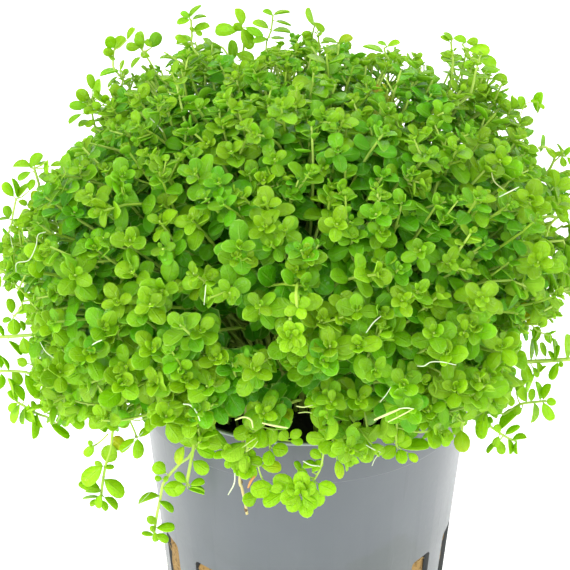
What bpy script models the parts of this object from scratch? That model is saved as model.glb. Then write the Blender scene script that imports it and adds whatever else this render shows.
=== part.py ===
"""Dwarf baby tears growing in a round net pot, as solid pieces at real size.

The origin is on the flat underside of the pot, on its axis. +Z is up and -Y is the front.
The plant is rooted in a plug of mineral wool. Its shoots fan out from the plug to a rounded,
slightly flattened dome, and a few trail over the pot's collar at the front.
"""

import math

import bmesh
import bpy
from mathutils import Vector

MM = 0.001
GAP = 0.3 * MM
UP = Vector((0, 0, 1))
FRONT = -math.pi / 2

# Net pot
POT_HEIGHT = 50 * MM
COLLAR_RADIUS = 25 * MM
COLLAR_HEIGHT = 6.5 * MM
COLLAR_DRAFT = 0.1 * MM
COLLAR_STEP = 0.35 * MM
WALL_TAPER = 0.078
WALL_THICKNESS = 0.9 * MM
WINDOW_COUNT = 16
WINDOW_ANGLE = math.radians(11.25)
WINDOW_TURN = math.radians(4)
WINDOW_TOP = POT_HEIGHT - 26.6 * MM
WINDOW_BOTTOM = 5 * MM
WINDOW_ROW = 3
SHARP_EDGE = math.radians(30)
POT_GREY = (0.22, 0.26, 0.29)
POT_ROUGHNESS = 0.42

# Mineral-wool plug
PLUG_TOP = POT_HEIGHT - 5 * MM
PLUG_SIDES = 24
WOOL_BROWN = (0.36, 0.22, 0.07)
WOOL_ROUGHNESS = 0.95

# Outside of the foliage: a dome a little squarer than an ellipsoid. Low at the front it draws in,
# so that the collar shows below it.
DOME_CENTRE = Vector((-3 * MM, 1 * MM, POT_HEIGHT + 14 * MM))
DOME_REACH = Vector((44.5 * MM, 44.5 * MM, 35 * MM))
DOME_SQUARENESS = 2.3
DOME_UNDERSIDE = math.radians(-27)
HOLLOW_DEPTH = 0.3
HOLLOW_ANGLE = math.radians(24)
HOLLOW_FADE = 2.0

# Shoots
DOME_SHOOTS = 50
GOLDEN_ANGLE = math.pi * (3 - math.sqrt(5))
ROOT_CIRCLE = 18.5 * MM
ROOT_RISE = 0.42
ROOT_RISE_MIN = 16 * MM
ROOT_LEAN = 4 * MM
STEM_WIDTH_ROOT = 1.3 * MM
STEM_WIDTH_TIP = 0.9 * MM
STEM_BENDS = 2
STEM_CORNERS = ((1, 1), (-1, 1), (-1, -1), (1, -1))
STEM_CLEARANCE = 2.4 * MM
ROUTE_STEPS = 24
HEADING_STEP = 0.5 / ROUTE_STEPS

# Leaves, in opposite pairs, each pair square to the one below it
LEAF_PAIRS_AT = (0.7, 0.81, 0.91, 1.0)
NODE_LENGTH = 1.2 * MM
LEAF_LENGTH = 8.6 * MM
LEAF_LENGTH_MIN = 2.2 * MM
LEAF_WIDTH = 0.92
LEAF_WIDEST_AT = 0.52
LEAF_TIP_WIDTH = 0.56
LEAF_THICKNESS = 0.6 * MM
LEAF_RISE = math.radians(22)
LEAF_SIDE_FACING = 0.9
LEAF_EDGE_WELD = 0.001 * MM
LEAF_GREEN = (0.13, 0.38, 0.02)
LEAF_ROUGHNESS = 0.45

# Tips of the shoots that trail over the collar
TRAILING_TIPS = (
    Vector((-22.5 * MM, -16 * MM, POT_HEIGHT - 21 * MM)),
    Vector((-3 * MM, -32 * MM, POT_HEIGHT - 4 * MM)),
)
TRAILING_ROOT_CIRCLE = 15.5 * MM
TRAILING_RISE = Vector((COLLAR_RADIUS - 5 * MM, 0, POT_HEIGHT + 14 * MM))
TRAILING_FALL = Vector((COLLAR_RADIUS + 11 * MM, 0, POT_HEIGHT + 5 * MM))


def remove_everything():
    for obj in list(bpy.data.objects):
        bpy.data.objects.remove(obj, do_unlink=True)


def make_material(name, colour, roughness):
    material = bpy.data.materials.new(name)
    material.use_nodes = True
    shader = material.node_tree.nodes["Principled BSDF"]
    shader.inputs["Base Color"].default_value = (*colour, 1.0)
    shader.inputs["Roughness"].default_value = roughness
    shader.inputs["Metallic"].default_value = 0.0
    return material


def add_object(name, bm, material):
    bmesh.ops.recalc_face_normals(bm, faces=bm.faces)
    mesh = bpy.data.meshes.new(name)
    bm.to_mesh(mesh)
    bm.free()
    mesh.materials.append(material)
    obj = bpy.data.objects.new(name, mesh)
    bpy.context.scene.collection.objects.link(obj)
    return obj


def on_circle(angle, radius, height=0.0):
    return Vector((radius * math.cos(angle), radius * math.sin(angle), height))


def wall_radius(height):
    """Outer radius of the pot's wall, which narrows from the collar to the base."""
    drop = POT_HEIGHT - COLLAR_HEIGHT - height
    return COLLAR_RADIUS - COLLAR_DRAFT - COLLAR_STEP - WALL_TAPER * drop


def column_angles():
    """Angles of the wall's upright edges, which are the two sides of each window."""
    pitch = 2 * math.pi / WINDOW_COUNT
    angles = []
    for index in range(WINDOW_COUNT):
        middle = FRONT + WINDOW_TURN + index * pitch
        angles += [middle - WINDOW_ANGLE / 2, middle + WINDOW_ANGLE / 2]
    return angles


def make_pot(material):
    """The outer skin is made in rings, its windows are left out, and it is thickened inwards."""
    shoulder = POT_HEIGHT - COLLAR_HEIGHT
    below_step = shoulder - COLLAR_STEP
    profile = [(COLLAR_RADIUS, POT_HEIGHT), (COLLAR_RADIUS - COLLAR_DRAFT, shoulder)]
    profile += [(wall_radius(z), z) for z in (below_step, WINDOW_TOP, WINDOW_BOTTOM, 0.0)]
    angles = column_angles()
    bm = bmesh.new()
    rings = [[bm.verts.new(on_circle(a, radius, z)) for a in angles] for radius, z in profile]
    for row, (upper, lower) in enumerate(zip(rings, rings[1:])):
        for column in range(len(angles)):
            after = (column + 1) % len(angles)
            in_window = row == WINDOW_ROW and column % 2 == 0
            if not in_window:
                bm.faces.new((upper[column], lower[column], lower[after], upper[after]))
    bm.faces.new(list(reversed(rings[-1])))
    pot = add_object("net_pot", bm, material)
    wall = pot.modifiers.new("Wall", 'SOLIDIFY')
    wall.thickness = WALL_THICKNESS
    wall.offset = -1
    wall.use_even_offset = True
    pot.data.shade_smooth()
    pot.data.set_sharp_from_angle(angle=SHARP_EDGE)
    return pot


def make_plug(material):
    """A tapered block that follows the inside of the pot, clear of it all round."""
    underside = WALL_THICKNESS + GAP
    inset = WALL_THICKNESS + 2 * GAP
    bm = bmesh.new()
    bmesh.ops.create_cone(
        bm, cap_ends=True, segments=PLUG_SIDES, depth=PLUG_TOP - underside,
        radius1=wall_radius(underside) - inset, radius2=wall_radius(PLUG_TOP) - inset)
    bmesh.ops.translate(bm, verts=bm.verts, vec=(0, 0, (PLUG_TOP + underside) / 2))
    return add_object("mineral_wool_plug", bm, material)


def dome_point(azimuth, elevation):
    """Point on the foliage's outside, in a direction seen from the dome's centre."""
    way = Vector((math.cos(azimuth) * math.cos(elevation),
                  math.sin(azimuth) * math.cos(elevation), math.sin(elevation)))
    total = sum((abs(w) / reach) ** DOME_SQUARENESS for w, reach in zip(way, DOME_REACH))
    radius = total ** (-1 / DOME_SQUARENESS)
    from_front = math.remainder(azimuth - FRONT, 2 * math.pi)
    lowness = max(0.0, math.cos(elevation) - HOLLOW_FADE * max(0.0, math.sin(elevation)))
    hollow = HOLLOW_DEPTH * lowness * math.exp(-(from_front / HOLLOW_ANGLE) ** 2)
    return DOME_CENTRE + way * radius * (1 - hollow)


def dome_routes():
    """Control points of stems that end evenly spread over the dome, along a spiral."""
    routes = []
    lowest = math.sin(DOME_UNDERSIDE)
    for index in range(DOME_SHOOTS):
        share = (index + 0.5) / DOME_SHOOTS
        azimuth = index * GOLDEN_ANGLE
        tip = dome_point(azimuth, math.asin(1 + (lowest - 1) * share))
        root = on_circle(azimuth, ROOT_CIRCLE * math.sqrt(share), PLUG_TOP + GAP)
        rise = UP * max((tip - root).length * ROOT_RISE, ROOT_RISE_MIN)
        routes.append([root, root + rise + on_circle(azimuth, ROOT_LEAN * share), tip])
    return routes


def trailing_routes():
    """Control points of stems that arch over the collar and hang down outside it."""
    routes = []
    for tip in TRAILING_TIPS:
        azimuth = math.atan2(tip.y, tip.x)
        root = on_circle(azimuth, TRAILING_ROOT_CIRCLE, PLUG_TOP + GAP)
        rising = on_circle(azimuth, TRAILING_RISE.x, TRAILING_RISE.z)
        falling = on_circle(azimuth, TRAILING_FALL.x, TRAILING_FALL.z)
        routes.append([root, rising, falling, tip])
    return routes


def clear_of(route, others):
    """Whether a stem keeps its distance from all the stems of a list."""
    return all((a - b).length > STEM_CLEARANCE
               for other in others for a in route_points(route) for b in route_points(other))


def along(route, share):
    """Place at a share of the way along a Bezier curve of any number of control points."""
    points = route
    while len(points) > 1:
        points = [a.lerp(b, share) for a, b in zip(points, points[1:])]
    return points[0]


def heading_at(route, share):
    after = along(route, min(1.0, share + HEADING_STEP))
    return (after - along(route, max(0.0, share - HEADING_STEP))).normalized()


def route_points(route):
    return [along(route, k / ROUTE_STEPS) for k in range(ROUTE_STEPS + 1)]


def room_to_pot(place):
    """Distance from a place to the nearest of the collar, the wall and the plug's top."""
    radius = math.hypot(place.x, place.y)
    shoulder = POT_HEIGHT - COLLAR_HEIGHT
    past_collar = max(0.0, place.z - POT_HEIGHT, shoulder - place.z)
    if radius < COLLAR_RADIUS and place.z > shoulder:
        to_collar = math.hypot(COLLAR_RADIUS - WALL_THICKNESS - radius, past_collar)
        return min(to_collar, place.z - PLUG_TOP)
    to_collar = math.hypot(radius - COLLAR_RADIUS, past_collar)
    to_wall = math.hypot(radius - wall_radius(min(place.z, shoulder)),
                         max(0.0, place.z - shoulder))
    return min(to_collar, to_wall)


def leaf_lengths(route, other_points):
    """Length of each pair: short of half-way to the next stem, and clear of the pot."""
    corner = math.hypot(1.0, LEAF_WIDTH * LEAF_TIP_WIDTH / 2)
    lengths = []
    for share in LEAF_PAIRS_AT:
        place = along(route, share)
        half_way = min((place - point).length for point in other_points) / 2
        length = min(LEAF_LENGTH, (min(half_way, room_to_pot(place)) - GAP) / corner)
        lengths.append(length if length > LEAF_LENGTH_MIN else 0.0)
    return lengths


def extrude_face(bm, face):
    return bmesh.ops.extrude_discrete_faces(bm, faces=[face])["faces"][0]


def ring_frames(route, turn):
    """Places and axes of the stem's rings, carried along it without twisting."""
    length = sum((b - a).length for a, b in zip(route_points(route), route_points(route)[1:]))
    shares = [k * LEAF_PAIRS_AT[0] / (STEM_BENDS + 1) for k in range(STEM_BENDS + 1)]
    for share in LEAF_PAIRS_AT:
        shares += [share - NODE_LENGTH / length, share]
    side = Vector((math.cos(turn), math.sin(turn), 0))
    frames = []
    for share in shares:
        heading = heading_at(route, share) if share else UP
        side = (side - heading * side.dot(heading)).normalized()
        frames.append((share, along(route, share), heading, side, heading.cross(side)))
    return frames


def grow_leaf(bm, face, node, heading, way, length):
    """Extrude a leaf from a side of the stem: out to its widest, then in to a thin blunt tip."""
    across = heading.cross(way)
    out = way * math.cos(LEAF_RISE) + heading * math.sin(LEAF_RISE)
    normal = heading * math.cos(LEAF_RISE) - way * math.sin(LEAF_RISE)
    widest = length * LEAF_WIDTH / 2
    stages = ((LEAF_WIDEST_AT, widest, LEAF_THICKNESS / 2), (1.0, widest * LEAF_TIP_WIDTH, 0.0))
    for reach, half_width, half_thickness in stages:
        face = extrude_face(bm, face)
        middle = face.calc_center_median()
        for vert in face.verts:
            offset = vert.co - middle
            vert.co = (node + out * length * reach
                       + across * math.copysign(half_width, offset.dot(across))
                       + normal * math.copysign(half_thickness, offset.dot(normal)))
    bmesh.ops.remove_doubles(bm, verts=face.verts[:], dist=LEAF_EDGE_WELD)


def make_shoot(name, route, turn, lengths, material):
    """A square stem grown ring by ring, with a pair of opposite leaves at each of its nodes."""
    frames = ring_frames(route, turn)
    bm = bmesh.new()
    ring = None
    sides = []
    for share, place, _, side, other in frames:
        half = (STEM_WIDTH_ROOT + (STEM_WIDTH_TIP - STEM_WIDTH_ROOT) * share) / 2
        new = [bm.verts.new(place + (side * a + other * b) * half) for a, b in STEM_CORNERS]
        if ring:
            sides.append([bm.faces.new((ring[k], ring[(k + 1) % 4], new[(k + 1) % 4], new[k]))
                          for k in range(4)])
        else:
            bm.faces.new(list(reversed(new)))
        ring = new
    bm.faces.new(ring)
    for pair, length in enumerate(lengths):
        row = STEM_BENDS + 1 + 2 * pair
        _, place, heading, side, other = frames[row + 1]
        node = (place + frames[row][1]) / 2
        way = other if pair % 2 else side
        for face in list(sides[row]):
            facing = (face.calc_center_median() - node).normalized().dot(way)
            if length and abs(facing) > LEAF_SIDE_FACING:
                grow_leaf(bm, face, node, heading, way * math.copysign(1, facing), length)
    return add_object(name, bm, material)


def main():
    remove_everything()
    make_pot(make_material("pot_plastic", POT_GREY, POT_ROUGHNESS))
    make_plug(make_material("mineral_wool", WOOL_BROWN, WOOL_ROUGHNESS))
    leaf_green = make_material("leaf_green", LEAF_GREEN, LEAF_ROUGHNESS)
    trailing = trailing_routes()
    routes = trailing + [route for route in dome_routes() if clear_of(route, trailing)]
    points = [route_points(route) for route in routes]
    for index, route in enumerate(routes):
        others = [p for k, stem in enumerate(points) if k != index for p in stem]
        lengths = leaf_lengths(route, others)
        make_shoot(f"shoot_{index + 1:02d}", route, index * GOLDEN_ANGLE, lengths, leaf_green)


main()
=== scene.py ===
import math

import bmesh
import bpy
import numpy as np
from mathutils import Euler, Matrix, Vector
from mathutils.bvhtree import BVHTree


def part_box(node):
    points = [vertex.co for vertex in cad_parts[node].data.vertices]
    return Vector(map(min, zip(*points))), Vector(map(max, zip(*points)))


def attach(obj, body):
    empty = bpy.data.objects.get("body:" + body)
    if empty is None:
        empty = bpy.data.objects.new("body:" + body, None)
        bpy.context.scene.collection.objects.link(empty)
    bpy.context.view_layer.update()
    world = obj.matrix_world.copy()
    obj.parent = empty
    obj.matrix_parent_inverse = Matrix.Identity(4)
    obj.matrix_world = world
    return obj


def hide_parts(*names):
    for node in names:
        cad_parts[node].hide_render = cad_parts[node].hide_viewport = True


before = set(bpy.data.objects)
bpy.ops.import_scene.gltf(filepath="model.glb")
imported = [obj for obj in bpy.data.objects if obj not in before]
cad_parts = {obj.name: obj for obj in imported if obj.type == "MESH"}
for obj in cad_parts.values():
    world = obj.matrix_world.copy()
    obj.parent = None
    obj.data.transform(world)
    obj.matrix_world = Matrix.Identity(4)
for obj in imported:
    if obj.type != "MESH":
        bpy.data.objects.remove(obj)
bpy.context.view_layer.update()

MM = 0.001
UP = np.array((0.0, 0.0, 1.0))
FRONT = -math.pi / 2
rng = np.random.default_rng(41)

# Pot and plug sizes
POT_HEIGHT = 50 * MM
COLLAR_RADIUS = 25 * MM
COLLAR_HEIGHT = 6.5 * MM
COLLAR_DRAFT = 0.1 * MM
COLLAR_STEP = 0.35 * MM
WALL_TAPER = 0.078
WALL_THICKNESS = 0.9 * MM
WINDOW_COUNT = 16
WINDOW_ANGLE = math.radians(11.25)
WINDOW_TURN = math.radians(4)
WINDOW_TOP = POT_HEIGHT - 26.6 * MM
WINDOW_BOTTOM = 5 * MM
WINDOW_SIZED_AT = 14 * MM
SHOULDER = POT_HEIGHT - COLLAR_HEIGHT
PLUG_TOP = POT_HEIGHT - 5 * MM

# Foliage sizes
DOME_CENTRE = np.array((-3.0, 1.4, 64.2)) * MM
DOME_REACH = np.array((42.6, 42.6, 32.4)) * MM
DOME_SQUARENESS = 2.3
DOME_UNDERSIDE = math.radians(-34)
FRONT_UNDERSIDE = math.radians(-9)
FRONT_SPREAD = math.radians(48)
GOLDEN_ANGLE = math.pi * (3 - math.sqrt(5))
PRIMARY_STEMS = 200
SHOOT_TIPS = 830
ROOT_CIRCLE = 18.0 * MM
# Leaves below this height band are painted lighter and fresher green, and those at the top a little darker,
# as painted light
LIGHT_BAND_TOP = 76 * MM
LIGHT_BAND = 26 * MM

# Pairs of leaves from a shoot's tip back: gap to the next pair and leaf length in millimetres, and
# rise from the level in degrees
PAIR_SPACING = (0.5, 0.95, 1.8, 2.4, 2.8, 3.1, 3.4, 3.4, 3.4)
PAIR_LENGTH = (1.2, 1.95, 2.6, 2.9, 3.0, 3.0, 3.0, 3.0, 3.0)
PAIR_RISE = (62, 44, 26, 14, 5, -3, -8, -10, -12)
INNER_FROM = 10.5 * MM
STEM_WIDTH = 0.23 * MM
STEM_PLACES = 9
FULL_STEM_FROM = 14 * MM
AGE_AT_TIP = 0.06
AGE_PER_MM = 0.058

# A leaf's width by its length, from least to most, and its bends and shade by middle and spread
LEAF_WIDTH = (0.72, 0.92)
LEAF_CUP = (0.40, 0.16)
LEAF_DROOP = (0.12, 0.28)
LEAF_TWIST = (0.0, 0.2)
SHADE_SPREAD = 0.2
SHADE_RANGE = (0, 1.3)

# Camera, and the 570-pixel frame that it shows
CAMERA_PLACE = np.array((-0.0032, -0.2249, 0.1808))
CAMERA_PITCH = math.radians(62.09)
LENS = 108.9
SENSOR = 36.0
FRAME_SIZE = 570
FRAME_MIDDLE = FRAME_SIZE / 2
FOCAL = LENS / SENSOR * FRAME_SIZE
LOOK = np.array((0.0, math.sin(CAMERA_PITCH), -math.cos(CAMERA_PITCH)))
CAMERA_UP = np.array((0.0, math.cos(CAMERA_PITCH), math.sin(CAMERA_PITCH)))
RIGHT = np.array((1.0, 0.0, 0.0))

# Outline of the close-set foliage in the 570-pixel frame, going clockwise from the left; single
# sprigs stand outside it. It runs on past both sides of the frame.
OUTLINE = ((104, 128), (101, 110), (112, 96), (125, 93), (137, 86), (144, 76), (152, 66), (161, 54),
           (173, 45), (186, 42), (200, 40), (214, 42), (222, 58), (236, 64), (254, 60), (268, 48),
           (286, 38), (300, 36), (314, 44), (325, 47), (345, 43), (362, 55), (380, 54), (394, 46),
           (401, 55), (416, 59), (430, 71), (436, 84), (448, 88), (452, 70), (458, 50), (470, 44),
           (486, 51), (495, 65), (493, 80), (501, 95), (508, 108), (519, 118), (527, 134), (533, 148),
           (541, 164), (549, 176), (566, 170), (590, 186), (604, 220), (602, 262), (588, 290),
           (560, 296), (558, 314), (545, 324), (526, 330), (520, 344), (512, 352), (510, 375),
           (505, 395), (502, 410), (497, 420), (483, 434), (470, 420), (456, 428), (445, 442),
           (425, 446), (414, 452), (386, 452), (370, 460), (346, 465), (331, 455), (325, 446),
           (300, 436), (285, 450), (265, 456), (245, 462), (230, 452), (215, 447), (195, 443),
           (185, 434), (170, 430), (155, 424), (140, 414), (125, 424), (110, 430), (95, 424),
           (80, 416), (62, 424), (50, 418), (40, 404), (41, 386), (30, 374), (36, 346), (28, 322),
           (30, 300), (8, 284), (-18, 262), (-22, 236), (-8, 222), (14, 222), (28, 214), (38, 200),
           (46, 184), (42, 173), (64, 172), (68, 164), (68, 150), (80, 142), (94, 140))

# Places where light or the dark inside shows between the shoots: centre, half-width, half-height
LIGHT_GAPS = (
    (126, 54, 7, 5), (135, 63, 6, 5), (142, 66, 6, 4), (132, 76, 4, 3), (118, 87, 7, 4),
    (108, 91, 4, 4), (175, 51, 6, 4), (181, 62, 6, 3), (163, 63, 4, 5), (160, 73, 5, 4),
    (171, 72, 4, 4), (178, 76, 5, 3), (160, 84, 4, 5), (136, 88, 4, 3), (142, 100, 4, 3),
    (91, 96, 3, 3), (95, 101, 6, 3), (193, 96, 4, 2), (193, 110, 4, 3), (224, 43, 4, 6),
    (208, 66, 2, 3), (246, 47, 6, 5), (262, 48, 8, 5), (255, 57, 4, 4), (286, 43, 5, 3),
    (302, 62, 4, 5), (306, 70, 3, 4), (281, 73, 6, 4), (294, 77, 6, 4), (270, 70, 4, 3),
    (318, 52, 4, 5), (323, 44, 4, 5), (327, 62, 3, 3), (331, 75, 7, 4), (352, 53, 4, 3),
    (364, 72, 3, 3), (376, 72, 7, 4), (380, 82, 3, 4), (390, 80, 6, 6), (388, 91, 4, 5),
    (391, 98, 4, 5), (397, 103, 4, 4), (338, 87, 4, 3), (350, 87, 5, 3), (327, 99, 4, 4),
    (422, 70, 5, 4), (454, 48, 3, 4), (464, 61, 3, 3), (473, 53, 3, 3), (463, 76, 7, 6),
    (456, 90, 3, 3), (445, 112, 2, 3), (431, 95, 3, 2), (404, 66, 3, 3), (403, 105, 4, 3),
    (416, 101, 3, 2), (502, 134, 4, 4), (503, 117, 3, 3), (496, 111, 3, 2), (478, 95, 2, 3),
    (474, 116, 2, 2), (411, 123, 3, 3), (404, 127, 3, 3), (438, 130, 2, 3), (548, 153, 5, 6),
    (543, 162, 5, 3), (560, 161, 3, 3), (56, 238, 6, 5), (46, 170, 5, 4), (51, 184, 3, 3),
    (28, 235, 3, 3), (46, 233, 3, 3), (57, 220, 2, 2), (50, 224, 3, 2), (63, 226, 2, 2),
    (20, 284, 6, 5), (70, 381, 4, 4), (78, 387, 3, 3), (56, 378, 3, 2), (519, 233, 4, 4),
    (524, 222, 3, 2), (530, 243, 8, 3), (545, 220, 3, 3), (532, 323, 7, 4), (552, 262, 2, 3),
    (504, 414, 4, 4), (503, 356, 3, 2), (500, 347, 2, 4), (449, 421, 3, 3), (558, 225, 8, 12))
DARK_GAPS = ((302, 419, 11, 14), (296, 408, 7, 6), (270, 428, 9, 3), (255, 429, 2, 4), (246, 405, 4, 2),
             (282, 416, 3, 2), (287, 398, 4, 5))
STEM_FREE_GAPS = DARK_GAPS[:2]
DARK_GAP_DEPTH = -6 * MM
EDGE_SPREAD = 2.0
LEAF_SHARE_IN_GAP = 1.5


def unit(v):
    return v / max(1e-12, float(np.linalg.norm(v)))


def on_circle(angle, radius, height=0.0):
    return np.array((radius * math.cos(angle), radius * math.sin(angle), height))


def wall_radius(height):
    drop = SHOULDER - height
    return COLLAR_RADIUS - COLLAR_DRAFT - COLLAR_STEP - WALL_TAPER * drop


# Node helpers
def feed(tree, sockets, inputs):
    """Link or set each named socket, by whether its value is another node's socket."""
    for key, value in inputs.items():
        if isinstance(value, bpy.types.NodeSocket):
            tree.links.new(value, sockets[key])
        else:
            sockets[key].default_value = value


def node(tree, kind, inputs=None, **settings):
    n = tree.nodes.new(kind)
    for key, value in settings.items():
        setattr(n, key, value)
    feed(tree, n.inputs, inputs or {})
    return n


def maths(tree, operation, a, b=0.0, c=0.0):
    return node(tree, "ShaderNodeMath", {0: a, 1: b, 2: c}, operation=operation).outputs[0]


def blend_colour(tree, factor, a, b):
    return node(tree, "ShaderNodeMix", {0: factor, 6: a, 7: b}, data_type="RGBA",
                clamp_factor=True).outputs[2]


def ramp(tree, value, low, high, out_low=0.0, out_high=1.0, smooth=True):
    kind = "SMOOTHSTEP" if smooth else "LINEAR"
    return node(tree, "ShaderNodeMapRange", {0: value, 1: low, 2: high, 3: out_low, 4: out_high},
                interpolation_type=kind).outputs[0]


def group(name, inputs, outputs):
    tree = bpy.data.node_groups.new(name, "ShaderNodeTree")
    for label, kind in inputs:
        tree.interface.new_socket(label, in_out="INPUT", socket_type=kind)
    for label, kind in outputs:
        tree.interface.new_socket(label, in_out="OUTPUT", socket_type=kind)
    return tree, tree.nodes.new("NodeGroupInput").outputs, tree.nodes.new("NodeGroupOutput").inputs


def place_group(tree, shared, inputs):
    n = node(tree, "ShaderNodeGroup", node_tree=shared)
    feed(tree, n.inputs, inputs)
    return n.outputs


def noise(tree, place, scale, detail=2.0):
    return node(tree, "ShaderNodeTexNoise", {"Vector": place, "Scale": scale, "Detail": detail}).outputs[0]


def parts_of(tree, vector):
    return node(tree, "ShaderNodeSeparateXYZ", {0: vector}).outputs


def bumped(tree, shader, height, strength, distance):
    """Relief on the shader's surface, and the normal that it gives."""
    relief = node(tree, "ShaderNodeBump", {"Strength": strength, "Distance": distance, "Height": height})
    tree.links.new(relief.outputs[0], shader.inputs["Normal"])
    return relief.outputs[0]


def let_light_through(tree, shader, share, inputs):
    """Mix a share of translucency into the finished surface."""
    lit = node(tree, "ShaderNodeBsdfTranslucent", inputs)
    mixed = node(tree, "ShaderNodeMixShader", {0: share, 1: shader.outputs[0], 2: lit.outputs[0]})
    tree.links.new(mixed.outputs[0], tree.nodes["Material Output"].inputs["Surface"])


def opaque(colour, factor=1.0):
    return (*[c * factor for c in colour], 1.0)


def halfway(a, b, share=0.5):
    return [(1 - share) * x + share * y for x, y in zip(a, b)]


def new_material(name):
    """A material, its nodes, its shader and the place on the object that it is read at."""
    material = bpy.data.materials.new(name)
    material.use_nodes = True
    tree = material.node_tree
    place = node(tree, "ShaderNodeTexCoord").outputs["Object"]
    return material, tree, tree.nodes["Principled BSDF"], place


VECTOR = "NodeSocketVector"
FLOAT = "NodeSocketFloat"
COLOUR = "NodeSocketColor"


def make_leaf_veins():
    """Midrib, arched side veins, a fine net between them and the pale margin of one leaf, which is partly a
    painted highlight.
    """
    tree, given, out = group("leaf_veins", [("Leaf UV", VECTOR)],
                             [("Veins", FLOAT), ("Net", FLOAT), ("Margin", FLOAT)])
    split = parts_of(tree, given["Leaf UV"])
    across = maths(tree, "ABSOLUTE", maths(tree, "MULTIPLY_ADD", split[0], 2.0, -1.0))
    midrib = ramp(tree, across, 0.02, 0.12, 1.0, 0.0)
    midrib = maths(tree, "MULTIPLY", midrib, ramp(tree, split[1], 0.95, 0.55))
    arch = maths(tree, "SUBTRACT", split[1], maths(tree, "MULTIPLY", across, 0.32))
    wave = maths(tree, "PINGPONG", maths(tree, "MULTIPLY", arch, 4.6), 0.5)
    side = maths(tree, "MULTIPLY", ramp(tree, wave, 0.0, 0.09, 1.0, 0.0),
                 ramp(tree, across, 0.95, 0.55))
    tree.links.new(maths(tree, "MAXIMUM", midrib, maths(tree, "MULTIPLY", side, 0.6)), out["Veins"])
    cells = node(tree, "ShaderNodeTexVoronoi", {"Vector": given["Leaf UV"], "Scale": 8.0},
                 feature="DISTANCE_TO_EDGE", voronoi_dimensions="2D").outputs["Distance"]
    tree.links.new(ramp(tree, cells, 0.0, 0.12, 1.0, 0.0), out["Net"])
    tip = ramp(tree, split[1], 0.93, 1.0)
    tree.links.new(maths(tree, "MAXIMUM", ramp(tree, across, 0.80, 0.97), tip), out["Margin"])
    return tree


def make_leaf_tint():
    """Colour of one leaf from its age, its own shade, its yellowing and its brown spots; age and shade also
    carry painted light.
    """
    tree, given, out = group(
        "leaf_tint",
        [("Age", FLOAT), ("Shade", FLOAT), ("Yellowing", FLOAT), ("Browning", FLOAT),
         ("Position", VECTOR), ("Leaf UV", VECTOR),
         ("Fresh", COLOUR), ("Grown", COLOUR), ("Old", COLOUR), ("Yellow", COLOUR), ("Brown", COLOUR)],
        [("Colour", COLOUR), ("Mottle", FLOAT)])
    newer = ramp(tree, given["Age"], 0.45, 0.0, smooth=False)
    older = ramp(tree, given["Age"], 0.45, 1.0, smooth=False)
    tint = blend_colour(tree, newer, given["Grown"], given["Fresh"])
    tint = blend_colour(tree, older, tint, given["Old"])
    mottle = noise(tree, given["Position"], 900.0)
    along = parts_of(tree, given["Leaf UV"])[1]
    spread = maths(tree, "ADD", maths(tree, "MULTIPLY", given["Yellowing"], 1.3),
                   maths(tree, "MULTIPLY_ADD", along, 0.35, -0.35))
    tint = blend_colour(tree, maths(tree, "MULTIPLY", spread, ramp(tree, given["Yellowing"], 0.02, 0.2)),
                        tint, given["Yellow"])
    spot = ramp(tree, maths(tree, "ADD", mottle, maths(tree, "MULTIPLY", along, 0.25)), 0.66, 0.74)
    tint = blend_colour(tree, maths(tree, "MULTIPLY", spot, given["Browning"]), tint, given["Brown"])
    value = maths(tree, "ADD", maths(tree, "MULTIPLY_ADD", given["Shade"], 0.5, 0.75),
                  maths(tree, "MULTIPLY_ADD", mottle, 0.3, -0.15))
    shaded = node(tree, "ShaderNodeHueSaturation", {"Value": value, "Color": tint}).outputs[0]
    tree.links.new(shaded, out["Colour"])
    tree.links.new(mottle, out["Mottle"])
    return tree


def make_grain():
    """Fine moulded grain and broad unevenness, for plastic, stems and wool."""
    tree, given, out = group("fine_grain", [("Position", VECTOR), ("Grain size", FLOAT)],
                             [("Grain", FLOAT), ("Cloud", FLOAT)])
    for part, grains, detail in (("Grain", 1.0, 3.0), ("Cloud", 0.05, 4.0)):
        scale = maths(tree, "DIVIDE", grains, given["Grain size"])
        tree.links.new(noise(tree, given["Position"], scale, detail), out[part])
    return tree


VEIN_COLOUR = (0.6, 0.85, 0.2)
# Pale leaf margin: the leaf's own paler edge and a painted highlight along its rim
MARGIN_AND_SHEEN_COLOUR = (0.75, 0.97, 0.30)


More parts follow.
